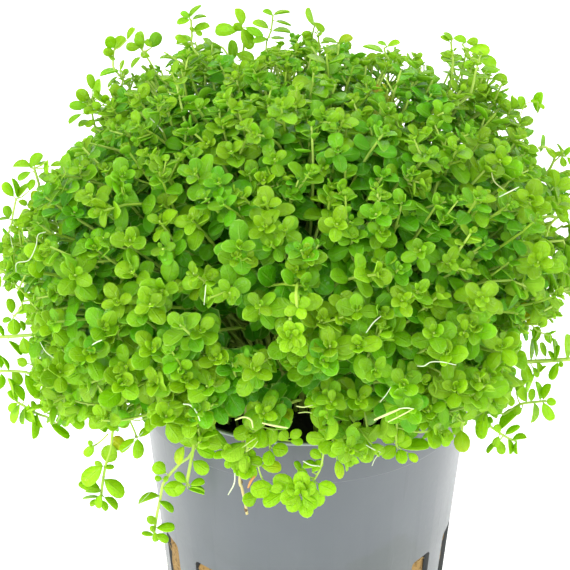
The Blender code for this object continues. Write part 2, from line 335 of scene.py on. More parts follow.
def leaf_material(name, veins, tint, colours, roughness, through, glow_colour, margin_and_sheen_gain):
    """One face of the leaves, from its colours when fresh, grown, old, yellowed and browned."""
    material, tree, shader, place = new_material(name)
    uv = node(tree, "ShaderNodeUVMap", uv_map="leaf").outputs[0]
    own = node(tree, "ShaderNodeAttribute", attribute_name="leaf_state")
    own_parts = node(tree, "ShaderNodeSeparateColor", {0: own.outputs["Color"]}).outputs
    lines = place_group(tree, veins, {"Leaf UV": uv})
    fresh, grown, old, yellow, brown = map(opaque, colours)
    tinted = place_group(tree, tint, {
        "Age": own_parts[0], "Shade": own_parts[1], "Yellowing": own_parts[2],
        "Browning": own.outputs["Alpha"], "Position": place, "Leaf UV": uv,
        "Fresh": fresh, "Grown": grown, "Old": old, "Yellow": yellow, "Brown": brown})
    pale = blend_colour(tree, maths(tree, "MULTIPLY", lines["Veins"], 0.30), tinted["Colour"],
                        opaque(halfway(colours[0], VEIN_COLOUR, 0.45)))
    pale = blend_colour(tree, maths(tree, "MULTIPLY", lines["Net"], 0.16), pale, fresh)
    # Pale margin: partly the leaf's own edge colour, partly a painted highlight
    pale = blend_colour(tree, maths(tree, "MULTIPLY", lines["Margin"], margin_and_sheen_gain), pale,
                        opaque(halfway(colours[0], MARGIN_AND_SHEEN_COLOUR)))
    tree.links.new(pale, shader.inputs["Base Color"])
    shader.inputs["Specular IOR Level"].default_value = 0.34
    tree.links.new(ramp(tree, tinted["Mottle"], 0.3, 0.7, roughness - 0.07, roughness + 0.07),
                   shader.inputs["Roughness"])
    relief = maths(tree, "SUBTRACT", maths(tree, "MULTIPLY", tinted["Mottle"], 0.35),
                   maths(tree, "ADD", lines["Veins"], maths(tree, "MULTIPLY", lines["Net"], 0.35)))
    normal = bumped(tree, shader, relief, 0.6, 0.15 * MM)
    glow = blend_colour(tree, 0.5, pale, opaque(glow_colour))
    let_light_through(tree, shader, through, {"Color": glow, "Normal": normal})
    return material


def stem_material(name, grain, colour, pale_colour, roughness, through):
    """Stems, roots and stalks, clouded between two colours and let through by light."""
    material, tree, shader, place = new_material(name)
    marks = place_group(tree, grain, {"Position": place, "Grain size": 0.4 * MM})
    tint = blend_colour(tree, ramp(tree, marks["Cloud"], 0.35, 0.65), opaque(colour), opaque(pale_colour))
    tint = blend_colour(tree, maths(tree, "MULTIPLY", marks["Grain"], 0.2), tint, opaque(colour, 0.6))
    tree.links.new(tint, shader.inputs["Base Color"])
    tree.links.new(ramp(tree, marks["Grain"], 0.3, 0.7, roughness - 0.08, roughness + 0.08),
                   shader.inputs["Roughness"])
    bumped(tree, shader, marks["Grain"], 0.4, 0.04 * MM)
    let_light_through(tree, shader, through, {"Color": tint})
    return material


# Centre of the pot's patch of painted shade, where the plug lies behind the wall; the colours below include
# that painted shade
PLUG_SHADE_PATCH = (12.5 * MM, -21 * MM, 20.5 * MM)
PLASTIC_COLOUR = (0.059, 0.070, 0.080, 1)
PLASTIC_CLOUD_COLOUR = (0.069, 0.081, 0.090, 1)
PLUG_SHADE_COLOUR = (0.050, 0.061, 0.064, 1)
DARK_STREAK_COLOUR = (0.050, 0.058, 0.066, 1)
PLUG_SHADE_PATCH_COLOUR = (0.046, 0.057, 0.054, 1)
# Painted highlight along the rim's top edge
RIM_HIGHLIGHT_COLOUR = (0.62, 0.66, 0.68, 1)


def pot_material(grain):
    """Satin grey plastic, with painted shade low down and in a patch where the plug lies behind the wall,
    faint dark streaks, and a painted highlight on the rim's top edge.
    """
    material, tree, shader, place = new_material("grey_plastic")
    marks = place_group(tree, grain, {"Position": place, "Grain size": 0.7 * MM})
    height = parts_of(tree, place)[2]
    tint = blend_colour(tree, ramp(tree, marks["Cloud"], 0.35, 0.65), PLASTIC_COLOUR, PLASTIC_CLOUD_COLOUR)
    blotch = noise(tree, place, 260.0, 5.0)
    # Painted shade: the wall is darkened low down, mottled, where the plug lies behind it
    edge = maths(tree, "ADD", height, maths(tree, "MULTIPLY_ADD", blotch, 12 * MM, -6 * MM))
    plug_shade = ramp(tree, edge, POT_HEIGHT - 17 * MM, POT_HEIGHT - 25 * MM)
    plug_shade = maths(tree, "MULTIPLY", plug_shade, ramp(tree, blotch, 0.30, 0.62, 0.25, 1.0))
    tint = blend_colour(tree, maths(tree, "MULTIPLY", plug_shade, 0.55), tint, PLUG_SHADE_COLOUR)
    # Faint dark diagonal streaks on the wall, also pressed in as relief
    stretched = node(tree, "ShaderNodeMapping", {"Vector": place, "Rotation": (0.0, 0.35, 0.0),
                                                 "Scale": (900.0, 900.0, 45.0)}).outputs[0]
    dark_streaks = ramp(tree, noise(tree, stretched, 1.0, 1.0), 0.68, 0.76)
    tint = blend_colour(tree, maths(tree, "MULTIPLY", dark_streaks, 0.22), tint, DARK_STREAK_COLOUR)
    # Painted shade: a darker patch at the front right, where the plug lies behind the wall
    from_patch = node(tree, "ShaderNodeVectorMath", {0: place, 1: PLUG_SHADE_PATCH}, operation="DISTANCE")
    from_patch = maths(tree, "MULTIPLY_ADD", blotch, 9 * MM, from_patch.outputs[1])
    tint = blend_colour(tree, ramp(tree, from_patch, 14.5 * MM, 12.0 * MM, 0.0, 0.6), tint, PLUG_SHADE_PATCH_COLOUR)
    level = node(tree, "ShaderNodeVectorMath", {0: place, 1: (1, 1, 0)}, operation="MULTIPLY").outputs[0]
    radius = node(tree, "ShaderNodeVectorMath", {0: level}, operation="LENGTH").outputs[1]
    # Painted highlight: a thin pale line on the outer top edge of the rim
    rim = maths(tree, "MULTIPLY", ramp(tree, height, POT_HEIGHT - 0.30 * MM, POT_HEIGHT - 0.15 * MM),
                ramp(tree, radius, COLLAR_RADIUS - 0.45 * MM, COLLAR_RADIUS - 0.30 * MM))
    tint = blend_colour(tree, maths(tree, "MULTIPLY", rim, 0.75), tint, RIM_HIGHLIGHT_COLOUR)
    tree.links.new(tint, shader.inputs["Base Color"])
    rough = maths(tree, "ADD", ramp(tree, marks["Cloud"], 0.3, 0.7, 0.34, 0.44),
                  maths(tree, "MULTIPLY", marks["Grain"], 0.08))
    tree.links.new(rough, shader.inputs["Roughness"])
    shader.inputs["Coat Weight"].default_value = 0.35
    shader.inputs["Coat Roughness"].default_value = 0.22
    bumped(tree, shader, maths(tree, "ADD", marks["Grain"], dark_streaks), 0.25, 0.03 * MM)
    return material


WOOL_TOP_SHADE_COLOUR = (0.012, 0.012, 0.008, 1.0)


def wool_material(name, grain, light, dark):
    """Matt tan wool, with painted shade darkening it towards the top of the plug."""
    material, tree, shader, place = new_material(name)
    marks = place_group(tree, grain, {"Position": place, "Grain size": 0.6 * MM})
    tint = blend_colour(tree, ramp(tree, marks["Cloud"], 0.35, 0.65), opaque(light), opaque(dark))
    tint = blend_colour(tree, ramp(tree, marks["Grain"], 0.5, 0.75), tint, opaque(dark, 0.35))
    height = parts_of(tree, place)[2]
    # Painted shade: the wool is painted near black towards the top of the plug, inside the shaded pot
    tint = blend_colour(tree, ramp(tree, height, PLUG_TOP - 4 * MM, PLUG_TOP - 1.5 * MM), tint,
                        WOOL_TOP_SHADE_COLOUR)
    tree.links.new(tint, shader.inputs["Base Color"])
    tree.links.new(ramp(tree, marks["Grain"], 0.3, 0.7, 0.8, 0.98), shader.inputs["Roughness"])
    bumped(tree, shader, marks["Grain"], 0.8, 0.2 * MM)
    return material


# Mesh helpers
def finish_piece(obj, nodes=()):
    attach(obj, "root")
    if nodes:
        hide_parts(*nodes)


def add_object(name, data):
    obj = bpy.data.objects.new(name, data)
    bpy.context.scene.collection.objects.link(obj)
    return obj


def shade(mesh, sharp_degrees):
    mesh.shade_smooth()
    mesh.set_sharp_from_angle(angle=math.radians(sharp_degrees))


def object_from_bmesh(name, bm, materials, sharp_degrees=35):
    mesh = bpy.data.meshes.new(name)
    bm.to_mesh(mesh)
    bm.free()
    for m in materials:
        mesh.materials.append(m)
    shade(mesh, sharp_degrees)
    return add_object(name, mesh)


def mesh_as_shown(obj):
    """A new mesh of the object with its modifiers or its curve's thickness worked in."""
    bpy.context.view_layer.update()
    return bpy.data.meshes.new_from_object(obj.evaluated_get(bpy.context.evaluated_depsgraph_get()))


def apply_modifiers(obj):
    mesh = mesh_as_shown(obj)
    old = obj.data
    obj.modifiers.clear()
    obj.data = mesh
    bpy.data.meshes.remove(old)
    mesh.name = obj.name


# Pot
def rounded_profile(points, radii, steps=3):
    """Points of a profile line with its corners rounded."""
    out = [points[0]]
    for k in range(1, len(points) - 1):
        p, a, b = Vector(points[k]), Vector(points[k - 1]), Vector(points[k + 1])
        r = radii[k]
        if r <= 0:
            out.append(tuple(p))
            continue
        start = p + (a - p).normalized() * r
        end = p + (b - p).normalized() * r
        for s in range(steps + 1):
            t = s / steps
            out.append(tuple(start.lerp(p, t).lerp(p.lerp(end, t), t)))
    out.append(points[-1])
    return out


def spin_profile(profile, steps):
    bm = bmesh.new()
    verts = [bm.verts.new((r, 0.0, z)) for r, z in profile]
    edges = [bm.edges.new((a, b)) for a, b in zip(verts, verts[1:])]
    bmesh.ops.spin(bm, geom=verts + edges, axis=(0, 0, 1), cent=(0, 0, 0),
                   angle=2 * math.pi, steps=steps, use_merge=True)
    bmesh.ops.remove_doubles(bm, verts=bm.verts, dist=1e-6)
    bmesh.ops.recalc_face_normals(bm, faces=bm.faces)
    return bm


def window_cutter(angle):
    """A rounded upright block that goes through the wall, one for each window."""
    bm = bmesh.new()
    middle = wall_radius(WINDOW_SIZED_AT)
    width = 2 * math.sin(WINDOW_ANGLE / 2) * middle
    bmesh.ops.create_cube(bm, size=1.0)
    bmesh.ops.scale(bm, vec=(9 * MM, width, WINDOW_TOP - WINDOW_BOTTOM), verts=bm.verts)
    along_x = [e for e in bm.edges if abs((e.verts[0].co - e.verts[1].co).normalized().x) > 0.9]
    bmesh.ops.bevel(bm, geom=along_x, offset=0.8 * MM, affect='EDGES', segments=4, profile=0.5,
                    material=-1)
    bmesh.ops.translate(bm, vec=(middle, 0, (WINDOW_TOP + WINDOW_BOTTOM) / 2), verts=bm.verts)
    bmesh.ops.rotate(bm, cent=(0, 0, 0), matrix=Euler((0, 0, angle)).to_matrix(), verts=bm.verts)
    return bm


POT_STEPS = 128
CORNER_RADII = tuple(r * MM for r in (0, 0.6, 0.1, 0.12, 0.35, 0.3, 0.1, 0.1, 0.5, 0))


def make_pot(material):
    """The turned wall, collar and base, with the windows cut through the wall."""
    inner = WALL_THICKNESS
    under_collar = SHOULDER - COLLAR_STEP
    outer_line = [(0.0, 0.0), (wall_radius(0), 0.0), (wall_radius(under_collar), under_collar),
                  (COLLAR_RADIUS - COLLAR_DRAFT, SHOULDER), (COLLAR_RADIUS, POT_HEIGHT)]
    inner_line = [(COLLAR_RADIUS - inner, POT_HEIGHT), (COLLAR_RADIUS - COLLAR_DRAFT - inner, SHOULDER),
                  (wall_radius(under_collar) - inner, under_collar),
                  (wall_radius(inner) - inner, inner), (0.0, inner)]
    bm = spin_profile(rounded_profile(outer_line + inner_line, CORNER_RADII), POT_STEPS)
    pot = object_from_bmesh("net_pot_moulding", bm, [material], 30)
    cutters = bmesh.new()
    for index in range(WINDOW_COUNT):
        one = window_cutter(FRONT + WINDOW_TURN + index * 2 * math.pi / WINDOW_COUNT)
        holder = bpy.data.meshes.new("cutter")
        one.to_mesh(holder)
        one.free()
        cutters.from_mesh(holder)
        bpy.data.meshes.remove(holder)
    cutter = object_from_bmesh("window_cutters", cutters, [])
    cut = pot.modifiers.new("Windows", "BOOLEAN")
    cut.operation = "DIFFERENCE"
    cut.solver = "EXACT"
    cut.object = cutter
    apply_modifiers(pot)
    bpy.data.objects.remove(cutter, do_unlink=True)
    shade(pot.data, 32)
    finish_piece(pot, ["net_pot"])


# Plug and its fibres
PLUG_GAP = 0.45 * MM
WINDOW_CLEARANCE = math.radians(0.25)
BULGE_SIDE = math.radians(0.75)
BULGE_TOP = 0.85 * MM
BULGE_INSET = 0.35 * MM
PLUG_COLUMNS = 10
PLUG_TOP_RADII = tuple(r * MM for r in (20, 17, 13, 9, 5, 0))
LUMP_DEPTH = 0.16 * MM
LUMP_HEIGHT = 0.9 * MM
LUMP_TABLE = 64


def off_window(angle):
    """Angle from the middle of the nearest window."""
    return math.remainder(angle - FRONT - WINDOW_TURN, 2 * math.pi / WINDOW_COUNT)


def bulge(angle, z):
    """How far the wool swells into a window at a place, most on the pot's left."""
    side = (WINDOW_ANGLE / 2 - WINDOW_CLEARANCE - abs(off_window(angle))) / BULGE_SIDE
    up = (min(z - WINDOW_BOTTOM, WINDOW_TOP - z) - BULGE_INSET) / BULGE_TOP
    below_face = (0.42 + 0.25 * math.cos(angle)) * MM
    return min(1.0, max(0.0, side)) * min(1.0, max(0.0, up)) * (WALL_THICKNESS + PLUG_GAP - below_face)


def make_plug(material):
    """A tapered block whose columns of faces are gathered at the sides of each window."""
    inset = WALL_THICKNESS + PLUG_GAP
    low = WALL_THICKNESS + 0.35 * MM
    rows = np.concatenate((np.linspace(low + 2 * MM, WINDOW_TOP - BULGE_INSET - BULGE_TOP, 13),
                           np.linspace(WINDOW_TOP - BULGE_INSET, PLUG_TOP - 1.5 * MM, 11)))
    line = [(0.0, low), (wall_radius(low) - inset, low)]
    line += [(wall_radius(z) - inset, z) for z in rows]
    line += [(wall_radius(PLUG_TOP) - inset - 0.4 * MM, PLUG_TOP - 0.4 * MM)]
    line += [(r, PLUG_TOP) for r in PLUG_TOP_RADII]
    bm = spin_profile(line, PLUG_COLUMNS * WINDOW_COUNT)
    column = 2 * math.pi / (PLUG_COLUMNS * WINDOW_COUNT)
    full = WINDOW_ANGLE / 2 - WINDOW_CLEARANCE - BULGE_SIDE
    even = (0.0, 2 * column, 3 * column, 5 * column)
    gathered = (0.0, full, full + BULGE_SIDE, 5 * column)
    lumps = np.random.default_rng(7).normal(0, 1, (LUMP_TABLE, LUMP_TABLE))
    for v in bm.verts:
        turned = math.atan2(v.co.y, v.co.x) + FRONT + WINDOW_TURN
        off = off_window(turned)
        angle = turned - off + math.copysign(float(np.interp(abs(off), even, gathered)), off)
        round_share = (angle / (2 * math.pi) * LUMP_TABLE) % LUMP_TABLE
        lump = lumps[int(round_share) % LUMP_TABLE, int((v.co.z / LUMP_HEIGHT) % LUMP_TABLE) % LUMP_TABLE]
        radius = math.hypot(v.co.x, v.co.y)
        if radius > 1 * MM:
            radius += bulge(angle, v.co.z) - abs(lump) * LUMP_DEPTH
            v.co.x, v.co.y = radius * math.cos(angle), radius * math.sin(angle)
        if v.co.z > PLUG_TOP - 1 * MM:
            v.co.z += min(0.0, lump) * 0.35 * MM
    plug = object_from_bmesh("mineral_wool_block", bm, [material], 80)
    finish_piece(plug, ["mineral_wool_plug"])


def tubes(name, paths, sides, material):
    """Thin round strands along lists of (place, half-width), joined as one mesh."""
    curve = bpy.data.curves.new(name, "CURVE")
    curve.dimensions = "3D"
    curve.bevel_depth = 1.0
    curve.bevel_resolution = (sides - 4) // 2
    curve.use_fill_caps = True
    for path in paths:
        spline = curve.splines.new("POLY")
        spline.points.add(len(path) - 1)
        flat = np.array([(*p, 1.0) for p, _ in path], dtype=np.float32).ravel()
        spline.points.foreach_set("co", flat)
        spline.points.foreach_set("radius", np.array([w for _, w in path], dtype=np.float32))
        spline.use_smooth = True
    holder = add_object(name, curve)
    mesh = mesh_as_shown(holder)
    mesh.materials.clear()
    mesh.materials.append(material)
    mesh.shade_smooth()
    mesh.name = name
    bpy.data.objects.remove(holder, do_unlink=True)
    bpy.data.curves.remove(curve)
    finish_piece(add_object(name, mesh))


FIBRES = 360


def wool_fibres():
    """Lines of the short loose fibres that lie on the wool where the windows show it."""
    local = np.random.default_rng(11)
    paths = []
    for _ in range(FIBRES):
        z = local.uniform(WINDOW_BOTTOM, WINDOW_TOP)
        window = local.integers(WINDOW_COUNT)
        angle = FRONT + WINDOW_TURN + (window * 2 * math.pi + local.uniform(-1.5, 1.5)) / WINDOW_COUNT
        heading = local.normal(0, 1, 2)
        heading /= np.linalg.norm(heading)
        length = local.uniform(1.2, 4.0) * MM
        bend = local.normal(0, 0.6)
        path = []
        for k in range(5):
            t = k / 4 - 0.5
            turn = angle + (heading[0] * t + heading[1] * bend * t * t) * length / wall_radius(z)
            height = z + (heading[1] * t - heading[0] * bend * t * t) * length
            height = min(WINDOW_TOP + 1 * MM, max(WINDOW_BOTTOM - 1 * MM, height))
            radius = wall_radius(height) - WALL_THICKNESS - PLUG_GAP + local.uniform(0.03, 0.2) * MM
            radius += bulge(turn, height)
            path.append((on_circle(turn, radius, height), local.uniform(0.035, 0.06) * MM))
        paths.append(path)
    return paths


# Leaf meshes
LEAF_RINGS = ((0.05, 0.13), (0.17, 0.5), (0.36, 0.88), (0.58, 1.0), (0.80, 0.87), (0.945, 0.52))
BUD_RINGS = ((0.08, 0.24), (0.32, 0.84), (0.62, 1.0), (0.89, 0.6))
INNER_RINGS = ((0.14, 0.42), (0.45, 1.0), (0.82, 0.78))


def leaf_pattern(sides, rings):
    """Closed thin blade on a plain lengthways axis: shares along, across and through the leaf."""
    bm = bmesh.new()
    bmesh.ops.create_uvsphere(bm, u_segments=sides, v_segments=len(rings) + 1, radius=1.0)
    bm.verts.ensure_lookup_table()
    heights = sorted({round(v.co.z, 5) for v in bm.verts})
    shares = [(0.0, 0.0), *rings, (1.0, 0.0)]
    pattern = np.zeros((len(bm.verts), 4))
    for k, v in enumerate(bm.verts):
        row = heights.index(round(v.co.z, 5))
        along_share, width = shares[row]
        flat = math.hypot(v.co.x, v.co.y)
        across, through = (v.co.x / flat, v.co.y / flat) if flat > 1e-4 else (0.0, 0.0)
        pattern[k] = (along_share, across, through, width)
    faces = [[v.index for v in f.verts] for f in bm.faces]
    centre_through = [np.mean([pattern[i][2] for i in f]) for f in faces]
    bm.free()
    return pattern, faces, centre_through


LEAF_THICKNESS = 0.16 * MM
MIDRIB_FOLD = 0.07


def leaf_points(table, pattern):
    """Places of all the leaves' points: each blade is cupped, bent along its length and twisted."""
    base, along, normal = (table[:, k:k + 3][:, None, :] for k in (0, 3, 6))
    length, width, cup, droop, twist = (table[:, k][:, None] for k in range(9, 14))
    across = np.cross(along, normal)
    share, side, depth, profile = (pattern[:, k][None, :] for k in range(4))
    half = width / 2 * profile
    bend = np.where(np.abs(droop) < 1e-3, 1e-3, droop)
    run = length * np.sin(bend * share) / bend
    rise = -length * (1 - np.cos(bend * share)) / bend
    thick = LEAF_THICKNESS / 2 * depth * np.clip(profile * 2.2, 0, 1)
    x = half * side * np.cos(twist * share)
    z = (cup * half * side ** 2 - MIDRIB_FOLD * half * (1 - np.abs(side)) + thick + rise
         + half * side * np.sin(twist * share))
    return base + along * run[..., None] + across * x[..., None] + normal * z[..., None]


def build_leaves(name, layers, patterns, materials):
    """One joined mesh of the leaves of a region, from the patterns of its layers."""
    points, loops, starts, under, uvs, states, rims = [], [], [], [], [], [], []
    point_count = loop_count = 0
    for layer, rows in sorted(layers.items()):
        pattern, faces, through = patterns[layer]
        table = np.array(rows)
        count, size = len(table), len(pattern)
        corners = np.array([i for f in faces for i in f])
        sizes = np.array([len(f) for f in faces])
        firsts = np.concatenate(([0], np.cumsum(sizes)[:-1]))
        points.append(leaf_points(table, pattern).reshape(-1, 3))
        loops.append((corners[None] + (np.arange(count) * size)[:, None]).ravel() + point_count)
        starts.append((firsts[None] + (np.arange(count) * len(corners))[:, None]).ravel() + loop_count)
        under.append(np.tile(np.array(through) < 0, count))
        uvs.append(np.tile(np.stack(((pattern[:, 1] + 1) / 2, pattern[:, 0]), 1)[corners], (count, 1)))
        states.append(np.repeat(table[:, 14:18], size, axis=0))
        rims.append(np.tile(np.abs(pattern[:, 2]) < 1e-4, count))
        point_count += count * size
        loop_count += count * len(corners)
    mesh = bpy.data.meshes.new(name)
    mesh.vertices.add(point_count)
    mesh.vertices.foreach_set("co", np.concatenate(points).ravel().astype(np.float32))
    mesh.loops.add(loop_count)
    mesh.loops.foreach_set("vertex_index", np.concatenate(loops).astype(np.int32))
    starts = np.concatenate(starts)
    mesh.polygons.add(len(starts))
    mesh.polygons.foreach_set("loop_start", starts.astype(np.int32))
    for material in materials:
        mesh.materials.append(material)
    mesh.polygons.foreach_set("material_index", np.concatenate(under).astype(np.int32))
    mesh.update(calc_edges=True)
    uv = mesh.uv_layers.new(name="leaf")
    uv.data.foreach_set("uv", np.concatenate(uvs).ravel().astype(np.float32))
    state = mesh.attributes.new("leaf_state", "FLOAT_COLOR", "POINT")
    state.data.foreach_set("color", np.concatenate(states).ravel().astype(np.float32))
    mesh.shade_smooth()
    ends = np.zeros(len(mesh.edges) * 2, dtype=np.int32)
    mesh.edges.foreach_get("vertices", ends)
    rim = np.concatenate(rims)[ends.reshape(-1, 2)].all(axis=1)
    sharp = mesh.attributes.get("sharp_edge") or mesh.attributes.new("sharp_edge", "BOOLEAN", "EDGE")
    sharp.data.foreach_set("value", rim)
    return add_object(name, mesh)


# Growth
def dome_point(azimuth, elevation, reach=1.0):
    way = np.array((math.cos(azimuth) * math.cos(elevation), math.sin(azimuth) * math.cos(elevation),
                    math.sin(elevation)))
    total = float(np.sum((np.abs(way) / DOME_REACH) ** DOME_SQUARENESS))
    radius = total ** (-1 / DOME_SQUARENESS)
    return DOME_CENTRE + way * radius * reach, way


def in_dome(p):
    return float(np.sum((np.abs(p - DOME_CENTRE) / DOME_REACH) ** DOME_SQUARENESS)) < 1


def underside(azimuth):
    """Lowest direction of the foliage, which ends higher at the front, above the collar."""
    from_front = math.remainder(azimuth - FRONT, 2 * math.pi)
    return DOME_UNDERSIDE + (FRONT_UNDERSIDE - DOME_UNDERSIDE) * math.exp(-(from_front / FRONT_SPREAD) ** 4)


def in_pot(p, margin=0.0):
    """Whether a place is inside the pot's plastic or the plug, with a margin."""
    r = math.hypot(p[0], p[1])
    z = p[2]
    if z < PLUG_TOP + margin * 0.5 and r < wall_radius(min(z, SHOULDER)) + margin:
        return True
    return z < POT_HEIGHT + margin and COLLAR_RADIUS - WALL_THICKNESS - margin < r < COLLAR_RADIUS + margin


CROWN_HEIGHT = 19 * MM
SECTORS = ("right_leaves", "back_right_leaves", "back_left_leaves", "left_leaves", "left_leaves",
           "front_left_leaves", "front_right_leaves", "right_leaves")


def region_of(place):
    """Name of the joined piece that a leaf belongs to: the crown, or an eighth of the round."""
    x, y, z = place - DOME_CENTRE
    if z > CROWN_HEIGHT:
        return "crown_back_leaves" if y > 0 else "crown_front_leaves"
    return SECTORS[int(math.degrees(math.atan2(y, x)) % 360 // 45) % 8]


# Pairs on a side branch from its tip back: distance, leaf length and rise
TWIG_PAIRS = ((0.0, 1.0 * MM, 56), (0.7 * MM, 1.7 * MM, 36), (2.3 * MM, 2.3 * MM, 18))
TWIG_WIDTHS = (0.17 * MM, 0.16 * MM, 0.13 * MM)


class Plant:
    """Leaves and stems as they grow: rows of leaf values by region and layer, and stem lines."""

    def __init__(self):
        self.leaves = {}
        self.stems = []
        self.twigs = []

    def leaf(self, p, along, normal, length, layer, age, yellow=0.0, width=None, paler=0.0):
        if width is None:
            width = length * rng.uniform(*LEAF_WIDTH)
        cup = rng.normal(*LEAF_CUP)
        droop = rng.normal(*LEAF_DROOP)
        # Painted light: lower leaves get a fresher colour and lighter shade, top leaves a darker one, and
        # placed leaves are painted paler
        low = float(np.clip((LIGHT_BAND_TOP - p[2]) / LIGHT_BAND, -0.3, 1.0))
        age -= 0.15 * low + 0.4 * paler
        shade = float(np.clip(rng.normal(0.5 + 0.24 * low + paler, SHADE_SPREAD), *SHADE_RANGE))
        brown = 1.0 if yellow > 0.5 and rng.random() < 0.3 else 0.0
        region = "inner_leaves" if layer == "inner" else region_of(p)
        rows = self.leaves.setdefault(region, {}).setdefault(layer, [])
        rows.append((*p, *along, *normal, length, width, cup, droop, rng.normal(*LEAF_TWIST),
                     float(np.clip(age, 0, 1)), shade, yellow, brown))

    def pair(self, p, heading, side, length, rise, layer, age, half_stem, lean=0.45, yellow=0.0,
             placed=False):
        """Two opposite leaves at a node, tilted a little towards the light."""
        for sign in (1, -1):
            own_rise = math.radians(rise + rng.normal(0, 8))
            out = unit(side * sign + np.cross(heading, side) * rng.normal(0, 0.12))
            along = out * math.cos(own_rise) + heading * math.sin(own_rise)
            normal = heading * math.cos(own_rise) - out * math.sin(own_rise)
            normal = unit(normal + UP * lean * rng.uniform(0.4, 1.3) + rng.normal(0, 0.14, 3))
            along = unit(along - normal * float(along @ normal))
            size = length * rng.uniform(0.86, 1.14)
            base = p + out * half_stem * 0.6
            middle = base + along * size * 0.6
            if in_pot(middle, 0.5 * MM) or in_pot(base + along * size, 0.1 * MM):
                continue
            if not placed and left_open(middle):
                continue
            self.leaf(base, along, normal, size, layer, age + rng.normal(0, 0.06), yellow)

    def shoot(self, line, tip_size=1.0, leafy=17 * MM, width=STEM_WIDTH, age_shift=0.0, twigs=0.22,
              yellow=0.0, lean=0.45, bare=0.08, placed=False):
        """A stem along a line of points, with pairs from its tip back, each square to the next."""
        gaps = np.linalg.norm(np.diff(line, axis=0), axis=1)
        from_tip = np.concatenate(([0.0], np.cumsum(gaps[::-1])))[::-1]
        headings = np.gradient(line, axis=0)
        side = unit(np.cross(unit(headings[-1]), rng.normal(0, 1, 3)))
        position, index = 0.0, 0
        while position < min(leafy, from_tip[0] - 1 * MM):
            p = np.array([np.interp(-position, -from_tip, line[:, k]) for k in range(3)])
            heading = unit(np.array([np.interp(-position, -from_tip, headings[:, k]) for k in range(3)]))
            side = unit(side - heading * float(side @ heading))
            k = min(index, len(PAIR_LENGTH) - 1)
            layer = "bud" if index == 0 else "outer"
            if position > INNER_FROM:
                layer = "inner"
            age = AGE_AT_TIP + AGE_PER_MM * position / MM + age_shift
            if not (index > 2 and rng.random() < bare):
                self.pair(p, heading, side, PAIR_LENGTH[k] * MM * tip_size, PAIR_RISE[k], layer, age,
                          width, lean, yellow * (1.0 if rng.random() < 0.6 else 0.3), placed)
            if index == 0 and rng.random() < 0.6:
                self.pair(p + heading * 0.25 * MM, heading, np.cross(heading, side),
                          0.7 * MM * tip_size, 72, "inner", age - 0.1, width * 0.5, placed=placed)
            if 2 <= index <= 4 and rng.random() < twigs:
                self.twig(p, heading, side, age_shift)
            position += PAIR_SPACING[k] * MM * rng.uniform(0.85, 1.15)
            side = np.cross(heading, side)
            index += 1
        keep = np.linspace(0, len(line) - 1, STEM_PLACES).astype(int)
        self.stems.append([(line[k], width * (0.62 + 0.45 * min(1.0, from_tip[k] / FULL_STEM_FROM)))
                           for k in keep])

    def twig(self, p, heading, side, age_shift):
        """A short side branch in a leaf's axil, with two or three small pairs."""
        sign = 1 if rng.random() < 0.5 else -1
        way = unit(side * sign * 0.9 + heading * 0.75 + UP * 0.2 + rng.normal(0, 0.15, 3))
        length = rng.uniform(1.6, 4.0) * MM
        end = p + way * length
        if in_pot(end, 1.5 * MM) or left_open(end):
            return
        across = unit(np.cross(way, rng.normal(0, 1, 3)))
        self.twigs.append(list(zip((p, p + way * length * 0.5, end), TWIG_WIDTHS)))
        for back, size, rise in TWIG_PAIRS:
            if back >= length - 0.4 * MM:
                break
            self.pair(end - way * back, way, across, size, rise, "bud",
                      0.05 + age_shift + 0.03 * back / MM, 0.14 * MM)
            across = np.cross(way, across)


BEZIER_POINTS = 41
LINE_STEPS = 10


def bezier_line(a, b, c, d, start=0.0):
    t = np.linspace(start, 1, BEZIER_POINTS)[:, None]
    s = 1 - t
    return a * s ** 3 + b * 3 * s * s * t + c * 3 * s * t * t + d * t ** 3


def smooth_line(points, steps=LINE_STEPS):
    """Points along a smooth curve that passes through all the given places."""
    places = [2 * points[0] - points[1], *points, 2 * points[-1] - points[-2]]
    line = []
    for a, b, c, d in zip(places, places[1:], places[2:], places[3:]):
        for t in np.linspace(0, 1, steps, endpoint=False):
            line.append(0.5 * (2 * b + (c - a) * t + (2 * a - 5 * b + 4 * c - d) * t ** 2
                               + (3 * b - a - 3 * c + d) * t ** 3))
    return np.array(line + [points[-1]])


def shown_at(p):
    """The pixel of the 570-pixel frame where a place shows."""
    offset = p - CAMERA_PLACE
    far = float(offset @ LOOK)
    return (FRAME_MIDDLE + FOCAL * float(offset @ RIGHT) / far,
            FRAME_MIDDLE - FOCAL * float(offset @ CAMERA_UP) / far)


def world_from_pixel(x, y, depth):
    """Place on the upright plane at a depth from front to back that shows at a pixel."""
    ray = LOOK + RIGHT * ((x - FRAME_MIDDLE) / FOCAL) + CAMERA_UP * ((FRAME_MIDDLE - y) / FOCAL)
    return CAMERA_PLACE + ray * (depth - CAMERA_PLACE[1]) / ray[1]


def sight_line(x, y):
    return unit(world_from_pixel(x, y, 0.0) - CAMERA_PLACE)


def inside_outline(x, y):
    """Whether a pixel lies in the outline, by the sides that a level line from it crosses."""
    inside = False
    for (ax, ay), (bx, by) in zip(OUTLINE, OUTLINE[1:] + OUTLINE[:1]):
        if (ay > y) != (by > y) and x < (bx - ax) * (y - ay) / (by - ay) + ax:
            inside = not inside
    return inside


def in_gaps(gaps, x, y, margin):
    return any(((x - gx) / (rx + margin)) ** 2 + ((y - gy) / (ry + margin)) ** 2 < 1
               for gx, gy, rx, ry in gaps)


